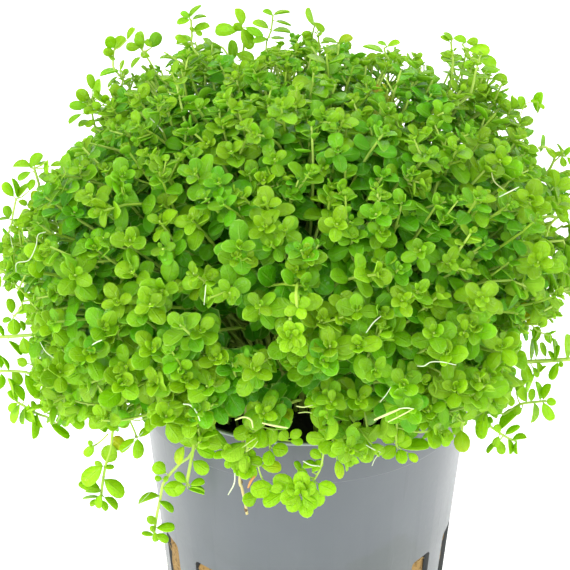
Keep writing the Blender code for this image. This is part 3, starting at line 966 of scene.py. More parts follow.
def left_open(p):
    """Whether a leaf with its middle here is left out, so that light or darkness shows."""
    x, y = shown_at(p)
    if not inside_outline(x + rng.normal(0, EDGE_SPREAD), y + rng.normal(0, EDGE_SPREAD)):
        return True
    if in_gaps(LIGHT_GAPS, x, y, LEAF_SHARE_IN_GAP):
        return True
    return p[1] < DARK_GAP_DEPTH and in_gaps(DARK_GAPS, x, y, LEAF_SHARE_IN_GAP)


def sine_at(share):
    """Sine of the elevation that a share of the dome's evenly spread places lies above."""
    return 1 + (math.sin(DOME_UNDERSIDE) - 1) * share


def dome_tips():
    """Directions and places of the shoot tips, along a spiral with uneven reach."""
    ways, tips = [], []
    for index in range(SHOOT_TIPS):
        azimuth = index * GOLDEN_ANGLE + rng.normal(0, 0.045)
        sine = sine_at((index + 0.5) / SHOOT_TIPS) + rng.normal(0, 0.018)
        elevation = math.asin(min(1.0, max(-0.6, sine)))
        reach = min(1.02, rng.normal(0.95, 0.035))
        if rng.random() < 0.07:
            reach = rng.uniform(1.01, 1.06)
        if elevation < underside(azimuth) + rng.normal(0, 0.03):
            continue
        p, way = dome_point(azimuth, elevation, reach)
        for _ in range(6):
            if inside_outline(*shown_at(p)):
                break
            p = DOME_CENTRE + (p - DOME_CENTRE) * 0.95
        if in_pot(p, 2 * MM) or not inside_outline(*shown_at(p)):
            continue
        ways.append(way)
        tips.append(p)
    return np.array(ways), np.array(tips)


def grow_dome(plant):
    """Primary stems fan out from the plug and fork into shoots that end all over the dome."""
    ways, tips = dome_tips()
    shares = (np.arange(PRIMARY_STEMS) + 0.5) / PRIMARY_STEMS
    centres = [dome_point(index * GOLDEN_ANGLE + 1.0, math.asin(sine_at(share)))[1]
               for index, share in enumerate(shares)]
    owner = np.argmax(ways @ np.array(centres).T, axis=1)
    for index, share in enumerate(shares):
        members = np.flatnonzero(owner == index)
        if len(members) == 0:
            continue
        aim = tips[members].mean(0)
        azimuth = math.atan2(aim[1], aim[0])
        root = on_circle(azimuth + rng.normal(0, 0.25),
                         ROOT_CIRCLE * math.sqrt(share) * rng.uniform(0.85, 1.0), PLUG_TOP)
        rise = max(float(np.linalg.norm(aim - root)) * 0.42, 15 * MM)
        lean = on_circle(azimuth, 5 * MM * share)
        trunk = root + UP * rise + lean + rng.normal(0, 1.2, 3) * MM
        fork_share = rng.uniform(0.28, 0.42)
        for order, member in enumerate(members):
            tip, way = tips[member], ways[member]
            lift = 0.55 if rng.random() > 0.2 else -0.1
            heading = unit(way + UP * lift + rng.normal(0, 0.35, 3))
            reach = float(np.linalg.norm(tip - root))
            third = tip - heading * reach * rng.uniform(0.26, 0.36)
            second = trunk + (0 if order == 0 else 1) * rng.normal(0, 1.0, 3) * MM
            line = bezier_line(root, second, third, tip, 0.0 if order == 0 else fork_share)
            if any(q[1] < DARK_GAP_DEPTH and in_gaps(STEM_FREE_GAPS, *shown_at(q), 1.0) for q in line[::3]):
                continue
            plant.shoot(line, tip_size=rng.uniform(0.84, 1.16), leafy=rng.uniform(17, 24) * MM,
                        age_shift=rng.normal(0, 0.15), yellow=0.6 if rng.random() < 0.008 else 0.0)


# Sprigs in front of the mass: places of the stem in the 570-pixel frame from its base to its tip,
# depth from front to back in millimetres, size of its leaves and how far they go down the stem
SPRIGS = (
    (((320, 52), (319, 44), (318, 34)), 19, 0.5, 7),
    (((404, 76), (410, 66), (414, 58)), 16, 0.9, 8),
    (((128, 98), (122, 88), (124, 74)), 7, 0.6, 8),
    (((104, 116), (110, 104), (114, 96)), 4, 1.1, 8),
    (((128, 104), (130, 90), (134, 78)), 9, 0.7, 9),
    (((140, 96), (146, 82), (150, 70)), 9, 0.7, 9),
    (((112, 118), (118, 104), (126, 92)), 6, 0.7, 9),
    (((98, 130), (93, 114), (88, 100)), 4, 0.8, 8),
    (((504, 126), (508, 113), (514, 107)), 6, 1.1, 8),
    (((492, 104), (486, 92), (484, 84)), 9, 1.2, 8),
    (((514, 140), (516, 130), (520, 124)), 5, 1.2, 8),
    (((448, 92), (452, 72), (453, 52)), 7, 0.62, 11),
    (((456, 96), (462, 74), (466, 52)), 16, 0.66, 12),
    (((468, 98), (474, 78), (480, 56)), 3, 0.66, 12),
    (((480, 102), (486, 86), (492, 68)), 13, 0.7, 11),
    (((462, 92), (468, 80), (472, 66)), 9, 0.62, 9),
    (((476, 96), (480, 84), (484, 74)), 8, 0.62, 9),
    (((490, 108), (496, 96), (502, 84)), 8, 0.7, 9),
    (((60, 214), (44, 208), (36, 206)), -5, 1.2, 9),
    (((64, 240), (48, 244), (38, 246)), -10, 1.1, 10),
    (((62, 300), (48, 302), (38, 296)), -14, 1.2, 10),
    (((64, 404), (50, 408), (44, 398)), -20, 1.2, 9),
    (((92, 400), (82, 410), (74, 412)), -24, 1.2, 9),
    (((560, 240), (570, 262), (584, 268)), -6, 1.3, 12),
    (((560, 200), (574, 204), (592, 206)), -2, 1.3, 12),
    (((524, 240), (532, 236), (538, 230)), -10, 1.3, 8),
    (((538, 292), (548, 292), (554, 290)), -8, 1.2, 8),
    (((540, 318), (548, 314), (556, 306)), -8, 0.8, 9),
    (((508, 350), (506, 366), (502, 380)), -20, 1.25, 9),
    (((246, 430), (247, 448), (244, 460)), -33, 1.15, 5),
    (((344, 430), (346, 446), (348, 458)), -33, 1.1, 7),
    (((366, 420), (368, 436), (364, 450)), -33, 1.0, 7),
    (((330, 412), (334, 424), (338, 434)), -35, 1.1, 5),
    (((424, 408), (432, 422), (438, 432)), -28, 1.0, 7),
    (((380, 400), (384, 412), (386, 424)), -34, 1.1, 6),
    (((212, 410), (211, 422), (208, 436)), -31, 1.2, 7),
    (((440, 372), (434, 384), (430, 396)), -32, 1.15, 6),
    (((452, 366), (448, 376), (446, 386)), -31, 1.15, 5),
    (((490, 380), (486, 392), (484, 402)), -27, 1.25, 7),
    (((504, 360), (502, 370), (500, 380)), -24, 1.2, 5),
    (((90, 262), (84, 274), (80, 284)), -26, 1.25, 6),
    (((100, 384), (104, 392), (106, 400)), -31, 1.2, 6),
    (((150, 372), (156, 386), (160, 398)), -36, 1.25, 7),
    (((168, 396), (170, 408), (170, 416)), -35, 1.2, 6),
)

# Rosettes that face the camera on the outside of the mass: place in the frame and size of leaves
ROSETTES = (
    (240, 247, 1.3), (264, 226, 1.05), (337, 224, 1.0), (309, 257, 0.95), (297, 303, 1.2),
    (260, 305, 0.95), (338, 150, 1.05), (285, 230, 0.9), (376, 214, 0.9), (402, 300, 0.95),
    (357, 310, 1.05), (420, 250, 0.9), (75, 275, 1.35), (52, 322, 1.05), (104, 328, 1.3),
    (60, 372, 1.2), (122, 384, 1.2), (166, 416, 1.2), (42, 254, 1.0), (150, 304, 1.1),
    (130, 240, 1.0), (90, 352, 1.1), (186, 380, 1.15), (216, 358, 1.0), (152, 348, 1.1),
    (200, 330, 1.1), (434, 333, 1.0), (447, 353, 1.1), (474, 330, 1.1), (478, 388, 1.3),
    (455, 388, 1.15), (502, 346, 1.05), (530, 200, 1.2), (500, 160, 1.0), (330, 346, 1.2),
    (290, 336, 1.3), (358, 346, 1.1), (254, 368, 1.1), (538, 262, 1.15), (404, 384, 1.15),
)
NEAREST_FOLIAGE = 150 * MM
FARTHEST_FOLIAGE = 320 * MM
SEARCH_STEP = 0.5 * MM

# Sprigs whose leaves each show singly, against the background or over the collar: depth from front
# to back in millimetres; stems as (half-width, places in the frame); and leaves as (base, tip,
# width) in the frame. The first stem of a sprig is led back to the plug.
PLACED = (
    (9, ((0.16, ((194, 50), (192, 36), (191, 20))),),
     ((189, 18, 198, 3, 5), (190, 18, 181, 12, 7), (190, 20, 177, 22, 7), (192, 20, 205, 13, 3),
      (192, 32, 209, 26, 6), (194, 31, 190, 27, 4), (195, 31, 202, 35, 5), (188, 44, 176, 36, 9),
      (176, 44, 189, 33, 8))),
    (20, ((0.2, ((244, 62), (244, 44), (242, 28))),),
     ((242, 26, 238, 8, 11), (238, 31, 216, 31, 11), (245, 27, 262, 37, 9), (242, 28, 251, 48, 15),
      (233, 61, 231, 41, 11), (236, 54, 253, 62, 12), (242, 30, 234, 24, 9))),
    (12, ((0.14, ((266, 50), (271, 31), (273, 15))),),
     ((273, 16, 264, 9, 5), (273, 15, 289, 10, 3), (269, 29, 254, 20, 6), (275, 21, 291, 23, 3.5),
      (272, 31, 290, 31, 3.5), (268, 39, 254, 43, 6), (270, 38, 284, 38, 5))),
    (23, ((0.13, ((311, 48), (313, 32), (315, 24))),),
     ((315, 27, 303, 11, 4), (314, 22, 324, 31, 6), (312, 32, 302, 36, 8), (309, 48, 306, 32, 10),
      (312, 46, 318, 52, 7))),
    (17, ((0.13, ((340, 56), (340, 48), (338, 42))),),
     ((338, 43, 352, 36, 9, 0.3), (338, 43, 323, 41, 4), (342, 46, 352, 44, 7))),
    (8, ((0.13, ((388, 66), (386, 56), (384, 48))),),
     ((384, 53, 365, 43, 6), (387, 47, 399, 41, 5), (387, 46, 378, 42, 3), (388, 56, 397, 54, 8))),
    (20, ((0.13, ((424, 86), (424, 74), (424, 65))),),
     ((426, 65, 433, 73, 7), (424, 64, 414, 58, 6), (427, 80, 438, 79, 9), (412, 62, 402, 58, 5))),
    (10, ((0.16, ((454, 90), (453, 66), (451, 42))), (0.14, ((476, 74), (470, 56), (462, 44)))),
     ((450, 42, 441, 36, 4), (452, 42, 447, 30, 5), (453, 38, 466, 40, 8), (466, 42, 478, 41, 9),
      (468, 50, 489, 51, 12), (452, 58, 441, 52, 6), (452, 60, 441, 57, 5), (454, 60, 462, 56, 6),
      (478, 57, 496, 65, 12), (480, 70, 498, 68, 9), (492, 78, 508, 77, 10), (452, 83, 448, 72, 6),
      (455, 82, 448, 87, 6), (476, 76, 468, 66, 9), (474, 62, 464, 66, 8), (478, 86, 462, 84, 9),
      (480, 84, 490, 94, 12), (486, 98, 502, 97, 14))),
    (8, ((0.16, ((136, 100), (130, 88), (120, 76), (113, 66), (114, 50))),
         (0.1, ((122, 80), (120, 70), (122, 62)))),
     ((114, 50, 123, 36, 10), (114, 48, 108, 38, 13), (114, 52, 106, 52, 10), (113, 56, 110, 62, 7),
      (120, 71, 100, 72, 3), (121, 70, 123, 60, 3), (118, 76, 107, 86, 4), (122, 76, 128, 69, 6),
      (121, 78, 122, 82, 6), (127, 40, 135, 29, 3.5))),
    (10, ((0.15, ((160, 78), (150, 62), (142, 50))),),
     ((142, 50, 142, 32, 10), (140, 48, 126, 46, 10), (144, 44, 135, 38, 9), (151, 48, 158, 33, 14),
      (141, 57, 130, 66, 4), (150, 56, 140, 54, 7), (152, 47, 146, 40, 7))),
    (4, ((0.16, ((112, 124), (100, 110), (92, 98))),),
     ((92, 90, 88, 75, 8), (98, 98, 98, 79, 11), (90, 99, 76, 92, 14), (87, 106, 70, 106, 12),
      (82, 114, 70, 124, 5), (92, 107, 100, 104, 9), (94, 108, 84, 112, 9), (96, 120, 86, 126, 7),
      (104, 104, 106, 95, 9))),
    (4, ((0.07, ((514, 122), (522, 110), (527, 103), (538, 102))),),
     ((538, 114, 542, 93, 7), (523, 110, 519, 97, 6), (537, 103, 531, 100, 3), (538, 104, 544, 109, 4))),
    (2, ((0.2, ((540, 178), (552, 164), (554, 156), (546, 147), (538, 148))),
         (0.12, ((554, 162), (560, 156), (564, 150)))),
     ((541, 152, 541, 135, 4), (545, 147, 556, 157, 6), (563, 157, 560, 143, 4), (565, 157, 571, 146, 6),
      (562, 152, 555, 155, 5), (562, 156, 562, 167, 6), (567, 157, 572, 165, 4))),
    (-4, ((0.2, ((552, 222), (556, 206), (556, 190))),),
     ((554, 202, 566, 221, 11), (556, 188, 552, 170, 14), (557, 190, 572, 180, 15), (558, 194, 570, 208, 14),
      (555, 196, 545, 206, 12))),
    (-10, ((0.2, ((552, 216), (549, 226), (546, 236))),),
     ((547, 230, 523, 234, 17), (546, 226, 528, 218, 14), (550, 232, 556, 228, 5))),
    (-3, ((0.2, ((44, 204), (39, 184), (34, 168))),),
     ((31, 167, 13, 162, 9), (30, 168, 40, 153, 8), (35, 165, 48, 162, 4), (48, 160, 46, 174, 5),
      (50, 166, 62, 163, 5), (31, 172, 18, 179, 6), (38, 176, 52, 175, 4), (36, 205, 35, 191, 9, 0.4))),
    (-4, ((0.17, ((12, 254), (12, 222), (16, 199))),),
     ((14, 197, 2, 185, 8), (17, 198, 12, 179, 8), (18, 198, 28, 182, 6), (29, 191, 34, 180, 7),
      (18, 201, 27, 204, 6), (9, 219, 6, 206, 10), (9, 219, -6, 217, 6), (14, 226, 30, 218, 12),
      (32, 228, 34, 246, 9), (16, 230, 20, 242, 10))),
    (-8, ((0.27, ((44, 290), (24, 281), (0, 270), (-18, 262))), (0.15, ((16, 277), (14, 262), (14, 250)))),
     ((17, 244, 38, 257, 8), (13, 276, 14, 246, 8), (6, 266, 6, 257, 6), (14, 284, 14, 278, 6),
      (8, 292, 9, 284, 8), (0, 274, -4, 290, 9), (-6, 268, -14, 252, 9), (-16, 262, -28, 262, 8))),
    (-12, ((0.15, ((30, 300), (22, 308), (14, 316))),),
     ((12, 314, 9, 299, 10), (17, 314, 30, 307, 8), (12, 319, 2, 320, 6), (14, 318, 14, 334, 15),
      (22, 304, 17, 292, 4), (20, 320, 25, 330, 6))),
    (-12, ((0.25, ((66, 320), (48, 332), (30, 335), (0, 337), (-16, 336))),),
     ((23, 337, 27, 353, 13), (8, 340, 19, 356, 6), (4, 337, 0, 325, 5), (-6, 338, -10, 352, 9),
      (-14, 336, -26, 334, 8))),
    (-14, ((0.2, ((50, 380), (26, 372), (0, 371), (-14, 370))), (0.1, ((38, 376), (36, 368), (30, 364)))),
     ((12, 371, 21, 384, 11), (25, 374, 34, 397, 14), (1, 373, 4, 391, 6), (1, 369, -1, 355, 5),
      (9, 371, 4, 356, 3), (34, 369, 36, 347, 9), (17, 359, 27, 365, 10), (-12, 371, -24, 370, 8))),
    (-17, ((0.2, ((60, 420), (48, 417), (38, 414), (24, 406), (17, 402))),),
     ((18, 402, 8, 392, 8), (18, 403, 9, 411, 6), (20, 404, 11, 422, 7), (14, 398, 11, 378, 4),
      (24, 402, 17, 385, 7), (25, 407, 25, 424, 5), (29, 404, 30, 423, 8), (34, 414, 36, 438, 8),
      (35, 411, 33, 401, 4), (37, 413, 38, 429, 4), (45, 396, 43, 411, 10), (50, 423, 66, 440, 8),
      (68, 414, 82, 428, 12), (82, 410, 106, 430, 13), (108, 410, 128, 425, 16))),
    (-27, ((0.2, ((120, 418), (113, 430), (111, 448), (106, 464), (103, 480), (101, 497))),
           (0.14, ((126, 412), (134, 430), (137, 438))), (0.12, ((108, 434), (101, 441), (94, 446)))),
     ((107, 463, 112, 445, 19), (126, 450, 112, 438, 15, 0.7), (104, 467, 114, 469, 6),
      (103, 466, 95, 462, 6), (103, 466, 82, 482, 17), (101, 491, 80, 481, 13), (101, 492, 86, 493, 5),
      (104, 479, 124, 495, 18), (100, 497, 83, 498, 3), (99, 500, 90, 505, 6), (101, 494, 99, 508, 8),
      (104, 497, 118, 508, 8), (100, 500, 107, 510, 7), (135, 438, 123, 453, 9), (137, 438, 138, 458, 11),
      (138, 437, 151, 431, 7), (148, 418, 150, 429, 11), (94, 445, 85, 456, 10), (92, 446, 89, 441, 5))),
    (-21, ((0.22, ((196, 446), (183, 460), (170, 474), (163, 484), (160, 500), (157, 514), (154, 533))),),
     ((166, 473, 153, 464, 15), (162, 479, 155, 478, 6), (163, 479, 168, 479, 6), (160, 496, 137, 497, 8),
      (159, 501, 173, 511, 7), (163, 488, 183, 489, 18), (156, 524, 148, 517, 9), (156, 528, 174, 528, 9),
      (155, 531, 151, 527, 6), (154, 535, 142, 535, 6), (156, 534, 168, 541, 9), (155, 532, 156, 542, 7))),
    (-27, ((0.25, ((196, 420), (194, 444), (190, 466), (187, 482))),),
     ((196, 446, 180, 432, 18), (205, 431, 209, 409, 15), (200, 447, 221, 438, 13), (196, 448, 214, 456, 14),
      (193, 461, 207, 472, 16), (184, 446, 174, 463, 11, 0.35), (190, 485, 204, 481, 6),
      (190, 487, 205, 488, 4), (188, 489, 204, 493, 6), (186, 483, 176, 473, 9), (186, 486, 176, 491, 9))),
    (-33, ((0.2, ((250, 440), (246, 452), (244, 464))), (0.16, ((270, 430), (270, 440), (270, 448)))),
     ((243, 463, 231, 454, 12), (243, 462, 254, 451, 13), (245, 463, 262, 461, 13), (243, 465, 234, 475, 12),
      (246, 465, 255, 476, 13), (244, 466, 246, 479, 15), (243, 462, 246, 447, 12), (243, 461, 239, 455, 7),
      (245, 461, 250, 457, 7), (231, 454, 214, 456, 8), (228, 458, 228, 468, 8), (230, 452, 225, 444, 9),
      (268, 446, 257, 437, 15), (270, 446, 272, 430, 16), (272, 448, 287, 451, 16), (270, 450, 268, 463, 14),
      (261, 466, 281, 467, 14, 0.35), (288, 440, 279, 431, 13), (290, 438, 300, 431, 11),
      (290, 441, 303, 442, 9))),
    (-34, ((0.14, ((324, 440), (323, 456), (318, 474), (302, 494))),
           (0.12, ((258, 466), (261, 476), (268, 488)))),
     ((322, 458, 311, 451, 11), (318, 466, 303, 463, 7), (300, 472, 297, 461, 6), (312, 472, 321, 461, 9),
      (308, 476, 298, 470, 8), (257, 498, 241, 500, 16), (284, 493, 264, 504, 16), (273, 486, 253, 491, 20),
      (296, 486, 274, 479, 19), (300, 490, 303, 471, 19), (318, 484, 333, 491, 17), (300, 492, 281, 500, 19),
      (304, 498, 325, 500, 18), (304, 498, 307, 515, 17), (300, 494, 287, 487, 14),
      (301, 494, 315, 484, 16), (300, 496, 290, 509, 16), (302, 497, 316, 507, 15), (301, 494, 299, 482, 12),
      (303, 496, 320, 494, 14), (270, 491, 282, 486, 11), (300, 494, 294, 489, 8), (302, 495, 308, 491, 8))),
    (-33.5, ((0.14, ((261, 438), (261, 432), (262, 424))),),
     ((262, 421, 290, 424, 12, 0.5), (286, 429, 290, 409, 12, 0.15))),
    (-35, ((0.2, ((330, 412), (332, 424), (333, 439))),),
     ((333, 438, 320, 429, 14), (334, 438, 347, 428, 14), (334, 440, 346, 449, 14), (332, 441, 321, 451, 15),
      (333, 438, 333, 423, 13), (334, 441, 333, 457, 13), (333, 439, 329, 435, 7), (334, 439, 338, 436, 7),
      (326, 440, 307, 437, 15), (326, 402, 305, 401, 12), (330, 404, 348, 391, 14),
      (320, 430, 316, 408, 16), (337, 460, 340, 478, 11, 0.3))),
    (-40, ((0.2, ((296, 292), (297, 306))), (0.2, ((290, 318), (291, 336)))),
     ((297, 306, 286, 314, 12), (297, 306, 309, 300, 12), (297, 305, 293, 293, 11), (298, 308, 304, 318, 12),
      (290, 336, 276, 330, 14), (292, 334, 302, 324, 14), (292, 336, 305, 344, 15), (290, 338, 284, 350, 15),
      (291, 334, 288, 322, 13), (293, 338, 296, 352, 14), (291, 335, 286, 332, 7), (293, 335, 297, 331, 7))),
    (-33, ((0.2, ((396, 420), (396, 434), (397, 446))),),
     ((394, 443, 383, 433, 14), (396, 443, 402, 431, 13), (396, 446, 384, 456, 15), (398, 446, 411, 438, 14),
      (400, 448, 428, 448, 14), (398, 450, 404, 461, 13), (408, 453, 417, 461, 9, 0.25),
      (437, 430, 435, 448, 10), (445, 430, 446, 446, 11))),
    (-22, ((0.2, ((458, 412), (462, 420), (462, 430))),),
     ((461, 430, 463, 450, 19, 0.25), (484, 412, 482, 438, 15))),
    (-20, ((0.2, ((486, 418), (496, 430), (508, 438), (516, 441))),),
     ((500, 440, 502, 454, 10), (498, 441, 488, 453, 4), (508, 438, 510, 454, 6), (505, 435, 518, 424, 8),
      (512, 440, 526, 436, 5), (517, 441, 516, 454, 3), (499, 436, 494, 447, 8), (500, 433, 496, 425, 8))),
    (-18, ((0.2, ((498, 412), (520, 404), (546, 401))),),
     ((527, 402, 515, 388, 10), (516, 392, 521, 377, 8), (531, 402, 532, 389, 8), (534, 402, 536, 423, 9),
      (540, 401, 537, 382, 9), (543, 400, 549, 384, 9), (543, 402, 549, 421, 11), (546, 401, 555, 402, 9),
      (523, 408, 500, 426, 11), (503, 392, 511, 406, 7), (520, 406, 516, 414, 8))),
    (-12, ((0.32, ((490, 364), (520, 362), (545, 361), (572, 359), (588, 358))),
           (0.08, ((530, 362), (534, 372), (530, 382)))),
     ((531, 361, 530, 339, 5), (536, 358, 535, 340, 4), (546, 357, 538, 344, 6), (526, 362, 525, 382, 10),
      (533, 367, 538, 377, 6), (535, 374, 526, 391, 3), (537, 362, 541, 372, 5), (555, 361, 555, 339, 4),
      (556, 360, 560, 346, 5), (553, 361, 549, 351, 5), (558, 362, 551, 379, 7), (560, 361, 562, 367, 5),
      (567, 360, 568, 335, 7), (578, 359, 584, 344, 9), (578, 360, 580, 374, 9), (588, 358, 598, 356, 7),
      (540, 372, 546, 366, 3), (527, 358, 518, 352, 8))),
    (-14, ((0.15, ((516, 330), (520, 324), (524, 318))),),
     ((519, 326, 527, 304, 12, 0.8), (528, 326, 536, 306, 10, 0.75), (518, 316, 523, 300, 7, 0.9),
      (520, 322, 534, 314, 7, 0.8))),
    (-10, ((0.12, ((526, 320), (536, 330), (550, 336))),),
     ((536, 342, 538, 327, 9), (551, 344, 546, 333, 8), (548, 334, 557, 332, 3), (532, 342, 533, 328, 4),
      (540, 328, 546, 320, 8))),
)
PLACED_LEAF_LONGER = 0.06
PLACED_LEAF_WIDER = 1.2
# Painted light: leaves of the placed sprigs are painted fresher and paler, like backlit leaves at the edge
# of the mass
PLACED_PAINTED_LIGHT = 0.36
HANGING_HEIGHT = POT_HEIGHT + 13 * MM
FULL_WIDTH_SHARE = 0.74
MOST_WIDTH_SHARE = 0.88
NEXT_LEAF_NEARER = 0.06 * MM
LONGEST_BARE_JOIN = 0.2 * MM


def led_back(places):
    """The stem's line from the plug to the first of the places and on through them."""
    azimuth = math.atan2(places[0][1], places[0][0])
    root = on_circle(azimuth, 16.5 * MM, PLUG_TOP - 0.5 * MM)
    if places[0][2] < HANGING_HEIGHT:
        over = [on_circle(azimuth, 20 * MM, POT_HEIGHT + 7 * MM),
                on_circle(azimuth, max(24 * MM, 0.9 * math.hypot(*places[0][:2])), POT_HEIGHT + 10 * MM)]
    else:
        reach, rise = places[0] * (1, 1, 0), UP * (places[0][2] - PLUG_TOP)
        root = root * (0.5, 0.5, 1)
        over = [reach * 0.35 + UP * PLUG_TOP + rise * 0.5, reach * 0.74 + UP * PLUG_TOP + rise * 0.88]
    return smooth_line([root, *over, *places])


def grow_sprigs(plant):
    """Leafy shoots that stand out of the mass, each led back into it."""
    for pixels, depth, size, leafy in SPRIGS:
        line = led_back([world_from_pixel(x, y, depth * MM) for x, y in pixels])
        plant.shoot(line, tip_size=size, leafy=leafy * MM, age_shift=rng.normal(-0.2, 0.05),
                    twigs=0.0, bare=0.0, lean=0.6, placed=True)


def grow_rosettes(plant):
    """Short shoots that face the camera, their tips where it sees the outside of the foliage."""
    for x, y, size in ROSETTES:
        ray = sight_line(x, y)
        far = NEAREST_FOLIAGE
        while far < FARTHEST_FOLIAGE and not in_dome(CAMERA_PLACE + ray * far):
            far += SEARCH_STEP
        if far >= FARTHEST_FOLIAGE:
            continue
        tip = CAMERA_PLACE + ray * far
        base = tip + (ray * 5.0 - UP * 1.2) * MM
        line = led_back([base, (base + tip) / 2 - UP * 0.2 * MM, tip])
        plant.shoot(line, tip_size=size, leafy=4.5 * MM, age_shift=rng.normal(-0.05, 0.1),
                    twigs=0.0, bare=0.0, lean=0.15, placed=True)


def leaf_as_seen(base, run_right, run_down, wide):
    """Heading, face, length and width of a leaf that looks so long and so wide in the frame."""
    far = float((base - CAMERA_PLACE) @ LOOK)
    run = RIGHT * (run_right + PLACED_LEAF_LONGER * run_right)
    run = run - CAMERA_UP * (run_down + PLACED_LEAF_LONGER * run_down)
    tip = base + run * far / FOCAL
    seen, wide = float(np.linalg.norm(tip - base)), (wide + PLACED_LEAF_WIDER) * far / FOCAL
    length = max(seen, wide / MOST_WIDTH_SHARE)
    width = max(wide, FULL_WIDTH_SHARE * length)
    pitch, roll = math.acos(seen / length), math.acos(min(1.0, wide / width))
    flat = unit(tip - base)
    back = unit(base - CAMERA_PLACE)
    facing = unit(-back + flat * float(back @ flat))
    along = flat * math.cos(pitch) + facing * math.sin(pitch)
    facing = facing * math.cos(pitch) - flat * math.sin(pitch)
    across = np.cross(along, facing)
    across = across if across[2] > 0 else -across
    normal = unit(facing * math.cos(roll) + across * math.sin(roll) + rng.normal(0, 0.08, 3))
    return unit(along - normal * float(along @ normal)), normal, length, width


def grow_placed(plant):
    """Sprigs with every leaf where it shows in the frame, turned by how wide it looks."""
    for depth, stems, leaves in PLACED:
        axes = []
        for order, (half, pixels) in enumerate(stems):
            places = [world_from_pixel(x, y, depth * MM) for x, y in pixels]
            line = led_back(places) if order == 0 else smooth_line(places)
            axes.extend(line[-LINE_STEPS * len(places):])
            keep = np.linspace(0, len(line) - 1, 16 if order == 0 else 8).astype(int)
            plant.stems.append([(line[k], half * MM) for k in keep])
        axes = np.array(axes)
        for order, (x0, y0, x1, y1, wide, *yellow) in enumerate(leaves):
            near = depth * MM - order * NEXT_LEAF_NEARER
            base = world_from_pixel(x0, y0, near)
            along, normal, length, width = leaf_as_seen(base, x1 - x0, y1 - y0, wide)
            plant.leaf(base, along, normal, length, "outer", 0.12 + rng.normal(0, 0.12),
                       yellow[0] if yellow else 0.0, width, PLACED_PAINTED_LIGHT)
            gap = np.linalg.norm(axes - base, axis=1)
            foot = axes[int(np.argmin(gap))]
            if float(gap.min()) > LONGEST_BARE_JOIN:
                bend = (base + foot) / 2 + unit(foot - base) * 0.1 * MM - UP * 0.1 * float(gap.min())
                plant.twigs.append([(foot, 0.11 * MM), (bend, 0.1 * MM), (base, 0.08 * MM)])


# Thin roots, aerial threads and old stalks: their places in the frame, half-width and kind
THREADS = (
    (((183, 404), (190, 405), (196, 411), (200, 421)), 0.16, "root"),
    (((235, 473), (234, 484), (228, 495)), 0.15, "root"),
    (((122, 451), (133, 443), (143, 432)), 0.10, "root"),
    (((130, 512), (143, 500), (155, 487)), 0.05, "root"),
    (((366, 333), (373, 323), (381, 316)), 0.12, "root"),
    (((206, 285), (205, 295), (204, 305)), 0.10, "root"),
    (((46, 232), (38, 235), (36, 246), (29, 260), (17, 263), (16, 272)), 0.11, "root"),
    (((491, 168), (494, 181), (504, 190)), 0.15, "stalk"),
    (((499, 197), (509, 192), (519, 187)), 0.14, "root"),
    (((417, 366), (424, 366), (431, 362), (442, 362), (456, 365)), 0.11, "root"),
    (((398, 409), (406, 408), (414, 409)), 0.12, "root"),
    (((380, 402), (386, 395), (391, 387)), 0.09, "root"),
    (((303, 461), (311, 465), (320, 466)), 0.16, "root"),
    (((366, 445), (373, 449), (380, 452)), 0.13, "root"),
    (((372, 466), (375, 459), (381, 452)), 0.11, "root"),
    (((10, 228), (11, 240), (14, 252)), 0.06, "root"),
    (((242, 448), (250, 442), (256, 438)), 0.08, "stalk"),
    (((246, 452), (253, 447), (258, 441)), 0.08, "stalk"),
    (((296, 406), (304, 407), (313, 405)), 0.16, "stalk"),
    (((298, 413), (306, 412), (312, 413)), 0.13, "stalk"),
    (((374, 420), (388, 414), (400, 409)), 0.24, "stalk"),
    (((388, 422), (402, 415), (413, 409)), 0.14, "stalk"),
    (((235, 420), (244, 417), (251, 420), (253, 428)), 0.20, "stalk"),
    (((262, 423), (276, 426), (288, 428)), 0.22, "stalk"),
    (((40, 342), (46, 352), (54, 358)), 0.10, "root"),
    (((92, 345), (97, 342), (102, 340)), 0.13, "root"),
    (((150, 118), (158, 126), (163, 132)), 0.14, "root"),
    (((255, 476), (251, 481), (248, 488)), 0.27, "ginger_stalk"),
)
OLD_STEM = ((240, 474), (242, 488), (245, 502), (247, 514))
OLD_STEM_NODES = (((240.6, 480.5), (241.2, 483.5)), ((245.6, 508), (246.2, 511.5)))
OLD_STEM_DEPTH = -31 * MM
NO_LEAF_DEPTH = 235 * MM
THREAD_PIECES = (("roots", "root"), ("old_stalks", "stalk"), ("ginger_stalks", "ginger_stalk"))

# Colour, paler colour, roughness and share of light let through
STEM_LOOK = ((0.40, 0.62, 0.05), (0.55, 0.74, 0.14), 0.42, 0.25)
THREAD_LOOKS = {
    "root": ((0.66, 0.74, 0.48), (0.80, 0.86, 0.64), 0.5, 0.2),
    "stalk": ((0.60, 0.74, 0.22), (0.70, 0.76, 0.32), 0.5, 0.2),
    "ginger_stalk": ((0.62, 0.22, 0.04), (0.72, 0.32, 0.08), 0.5, 0.15),
    "dry_stalk": ((0.50, 0.43, 0.17), (0.60, 0.52, 0.20), 0.6, 0.1),
    "dry_node": ((0.10, 0.06, 0.02), (0.20, 0.12, 0.04), 0.7, 0.0),
}


def in_front_of(tree, pixels, clearance=0.5 * MM):
    """Places that show at the pixels, all just in front of the nearest leaf behind any of them."""
    rays = [sight_line(x, y) for x, y in pixels]
    hits = [(tree.ray_cast(Vector(CAMERA_PLACE), Vector(ray))[3], ray) for ray in rays]
    far = [hit * float(ray @ LOOK) for hit, ray in hits if hit is not None]
    near = min(far, default=NO_LEAF_DEPTH) - clearance
    return [CAMERA_PLACE + ray * near / float(ray @ LOOK) for ray in rays]


